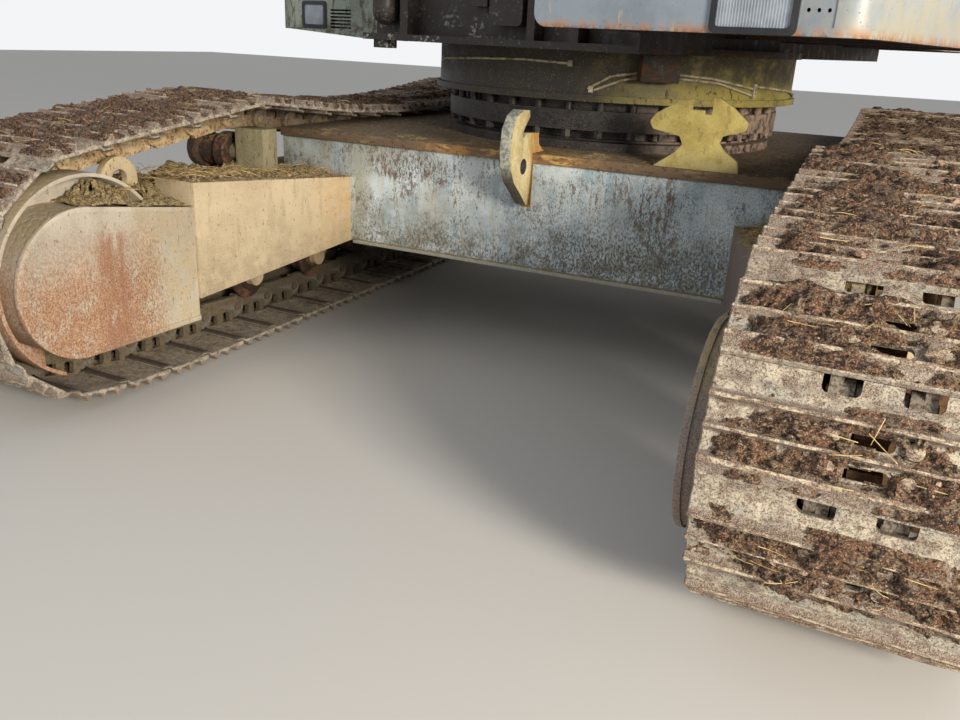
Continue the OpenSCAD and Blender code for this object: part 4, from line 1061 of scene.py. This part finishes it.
class UNDERCARRIAGE_OT_tracks(bpy.types.Operator):
    """Shoes, links and clay of both tracks"""
    bl_idname = "undercarriage.tracks"
    bl_label = "Tracks"

    def execute(self, context):
        settings = context.scene.undercarriage
        random.seed(41)
        for name, sign in SIDES.items():
            places, pitch = chain_places(name, sign)
            if len(places) < LINKS_LEAST:
                raise RuntimeError(f"the packed track_{name} shows {len(places)} links")

            def wander(k, verts):
                for v in verts:
                    if v.co.z > 0.012:
                        spot = Vector((v.co.x * 14, v.co.y * 5, k * 1.9 + sign * 31))
                        v.co.z -= settings.shoe_dent * max(0.0, 1 + 1.6 * noise.noise(spot))
                        v.co.y += settings.shoe_dent * noise.noise(spot + Vector((9, 0, 0)))

            shoes = stamped(shoe_template(pitch), places, LINK_OUT + SHOE_T, wander)
            piece(f"shoes_{name}", shoes, shoe_steel(), "undercarriage",
                  (f"track_{name}",), 32)
            links = stamped(link_template(pitch), places, 0.0)
            piece(f"chain_{name}", links, chain_steel(), "undercarriage", crease=40)
            mud = bmesh.new()
            mud.verts.layers.float.new("thick")
            for k, place in enumerate(places):
                outward = place.col[2].z
                if outward >= HANGING:
                    wealth = settings.mud + random.uniform(-0.12, 0.22) + (0.16 if outward > LEVEL else -0.04)
                    join_in(mud, mud_patch(place, pitch, k + 100 * sign, wealth))
            piece(f"shoe_mud_{name}", mud, clay_mud(), "undercarriage")
        return {"FINISHED"}


# Loose dirt on a side's frame, guard and leg: from and to in X and in Y, the height that the search starts
# from, then cell, depth, fill and seed
HEAPS = (
    (0.80, 1.178, -1.70, -0.962, 1.00, 0.007, 0.026, 0.30, -2),
    (0.80, 1.178, 0.962, 1.70, 1.00, 0.007, 0.026, 0.30, 2),
    (0.99, 1.19, -2.16, -1.70, 0.71, 0.006, 0.050, 0.55, 11),
    (1.06, 1.19, -2.12, -1.70, 0.71, 0.006, 0.070, 0.55, 13),
    (1.178, 1.50, -1.80, -1.02, 0.71, 0.009, 0.050, 0.40, 15),
)
# A leg's inner edge: its X and its top at the beam and at its far end
LEG_X = (0.800, 0.985)
LEG_Z = (0.690, 0.735)
STALK_R, THICK_STALK_R = 0.0009, 0.0010


class UNDERCARRIAGE_OT_dirt(bpy.types.Operator):
    """Loose dirt, chips and stalks on the frame and in the shoes"""
    bl_idname = "undercarriage.dirt"
    bl_label = "Dirt"

    def execute(self, context):
        settings = context.scene.undercarriage
        random.seed(7)
        bm = bmesh.new()
        for name, sign in SIDES.items():
            grounds = ground_of("centre_frame", f"track_frame_{name}", f"motor_guard_{name}")
            for x0, x1, y0, y1, top, cell, deep, fill, seed in HEAPS:
                x0, x1 = sorted((sign * x0, sign * x1))
                settle(bm, grounds, (x0, y0), (x1, y1, top), cell, deep, fill, seed + sign)
        plate = ground_of("centre_top_plate")
        for k in range(10):
            x, y = -1.0 + 0.22 * k, -0.955 + 0.04 * math.sin(k * 2.3)
            settle(bm, plate, (x, y), (x + 0.2, y + 0.16, 0.95), 0.007, 0.012, 0.1, k + 20)
        piece("loose_dirt", bm, heap_dirt(), "undercarriage")

        chips, clods, straw = bmesh.new(), bmesh.new(), bmesh.new()
        on_shoe = LINK_OUT + SHOE_T
        for name, sign in SIDES.items():
            places, pitch = chain_places(name, sign)
            seen = [place for place in places if place.col[2].z > -0.4]
            for k in range(settings.crumbs):
                place = random.choice(seen)
                share = random.choice((-0.15, 0.15)) + random.uniform(-0.11, 0.11)
                spot = Vector((random.gauss(0, 0.13), share * pitch, on_shoe + 0.017))
                size = min(0.036, random.expovariate(1 / 0.007) + 0.005)
                if abs(spot.x) < 0.28 and min(abs(abs(spot.y) - HOLE_U * pitch) * 3, abs(spot.x)) > 0.035:
                    crumb(chips if k % 4 == 0 else clods, place @ spot, size)
            for k in range(settings.stalks // 2):
                place = random.choice(seen)
                spot = Vector((random.gauss(0, 0.12), random.uniform(-0.3, 0.3) * pitch, on_shoe + 0.027))
                if abs(spot.x) < 0.24:
                    stalk(straw, place @ spot, random.uniform(0.020, 0.075), STALK_R, place.col[2].to_3d())
            for k in range(settings.stalks // 2):
                share = random.random()
                x = sign * random.uniform(LEG_X[0] + (LEG_X[1] - LEG_X[0]) * share + 0.02, 1.16)
                spot = Vector((x, -0.955 - 0.745 * share, LEG_Z[0] + (LEG_Z[1] - LEG_Z[0]) * share + 0.018))
                stalk(straw, spot, random.uniform(0.03, 0.11), STALK_R, UP)
                if k % 2:
                    crumb(chips, spot - Vector((0, 0, 0.006)), random.uniform(0.006, 0.022))
                far = Vector((sign * random.uniform(1.02, 1.40), random.uniform(-2.0, -1.5), LEG_Z[1]))
                if k % 3 == 0 and abs(far.x) < 1.15 + (far.y + 2.0):
                    stalk(straw, far, random.uniform(0.04, 0.14), THICK_STALK_R, UP)
        piece("chips", chips, chip_stone(), "undercarriage", crease=25)
        piece("clods", clods, clay_mud(), "undercarriage", crease=25)
        piece("straw", straw, straw_dry(), "undercarriage")
        return {"FINISHED"}


BEZEL_W = 0.015


def round_corners(x0, x1, z0, z1, radius):
    """Points round a rectangle with rounded corners."""
    steps = 5
    points = []
    for cx, cz, start in ((x1 - radius, z1 - radius, 0), (x0 + radius, z1 - radius, 90),
                          (x0 + radius, z0 + radius, 180), (x1 - radius, z0 + radius, 270)):
        for i in range(steps + 1):
            angle = math.radians(start + 90 * i / steps)
            points.append((cx + radius * math.cos(angle), cz + radius * math.sin(angle)))
    return points


def bezel(bm, outer, inner, y, deep):
    """A frame between two outlines of as many points, its front at y and its sides deep, on the platform."""
    rings = []
    for line, depth in ((outer, deep), (outer, 0.002), (inner, 0.0), (inner, deep)):
        rings.append([bm.verts.new(SLEW @ Vector((x, y + depth, z))) for x, z in line])
    for low, top in zip(rings, rings[1:]):
        for i in range(len(low)):
            bm.faces.new((low[i], low[(i + 1) % len(low)], top[(i + 1) % len(low)], top[i]))


class UNDERCARRIAGE_OT_fittings(bpy.types.Operator):
    """Dark bezels round the lamps and rounded lenses in them"""
    bl_idname = "undercarriage.fittings"
    bl_label = "Fittings"

    def execute(self, context):
        bm = opened(NODES["lamps"].data)
        bmesh.ops.remove_doubles(bm, verts=bm.verts, dist=WELD)
        rims = bmesh.new()
        for side in (-1, 1):
            lens = [SLEW.inverted() @ v.co for v in bm.verts if v.co.x * side > 0]
            x0, x1 = min(p.x for p in lens), max(p.x for p in lens)
            z0, z1 = min(p.z for p in lens), max(p.z for p in lens)
            face = min(p.y for p in lens)
            outer = round_corners(x0 - BEZEL_W, x1 + BEZEL_W, z0 - BEZEL_W, z1 + BEZEL_W, 0.016)
            inner = round_corners(x0 + 0.001, x1 - 0.001, z0 + 0.001, z1 - 0.001, 0.010)
            bezel(rims, outer, inner, face - 0.0055, 0.012)
        bmesh.ops.recalc_face_normals(rims, faces=rims.faces)
        piece("lamp_bezels", rims, black_rubber(), "platform", crease=30)
        rounded(bm, [e for e in bm.edges if e.calc_face_angle() > 1], 0.008, 3, True)
        piece("lenses", bm, finish_of("lamps"), "platform", ("lamps",), 30)
        return {"FINISHED"}


class UNDERCARRIAGE_PT_panel(bpy.types.Panel):
    """The steps that dress the undercarriage"""
    bl_idname = "UNDERCARRIAGE_PT_panel"
    bl_label = "Undercarriage"
    bl_space_type = "VIEW_3D"
    bl_region_type = "UI"
    bl_category = "Undercarriage"

    def draw(self, context):
        settings = context.scene.undercarriage
        for name in ("mud", "shoe_dent", "crumbs", "stalks", "edge", "floor_colour"):
            self.layout.prop(settings, name)
        for step in STEPS:
            self.layout.operator(step.bl_idname)


STEPS = (UNDERCARRIAGE_OT_stage, UNDERCARRIAGE_OT_finishes, UNDERCARRIAGE_OT_tracks, UNDERCARRIAGE_OT_dirt,
         UNDERCARRIAGE_OT_fittings)
CLASSES = (UndercarriageSettings, *STEPS, UNDERCARRIAGE_PT_panel)


def register():
    for kind in CLASSES:
        bpy.utils.register_class(kind)
    bpy.types.Scene.undercarriage = PointerProperty(type=UndercarriageSettings)


def unregister():
    del bpy.types.Scene.undercarriage
    for kind in reversed(CLASSES):
        bpy.utils.unregister_class(kind)


def main():
    register()
    for step in STEPS:
        getattr(bpy.ops.undercarriage, step.bl_idname.split(".")[1])()


if __name__ == "__main__":
    main()
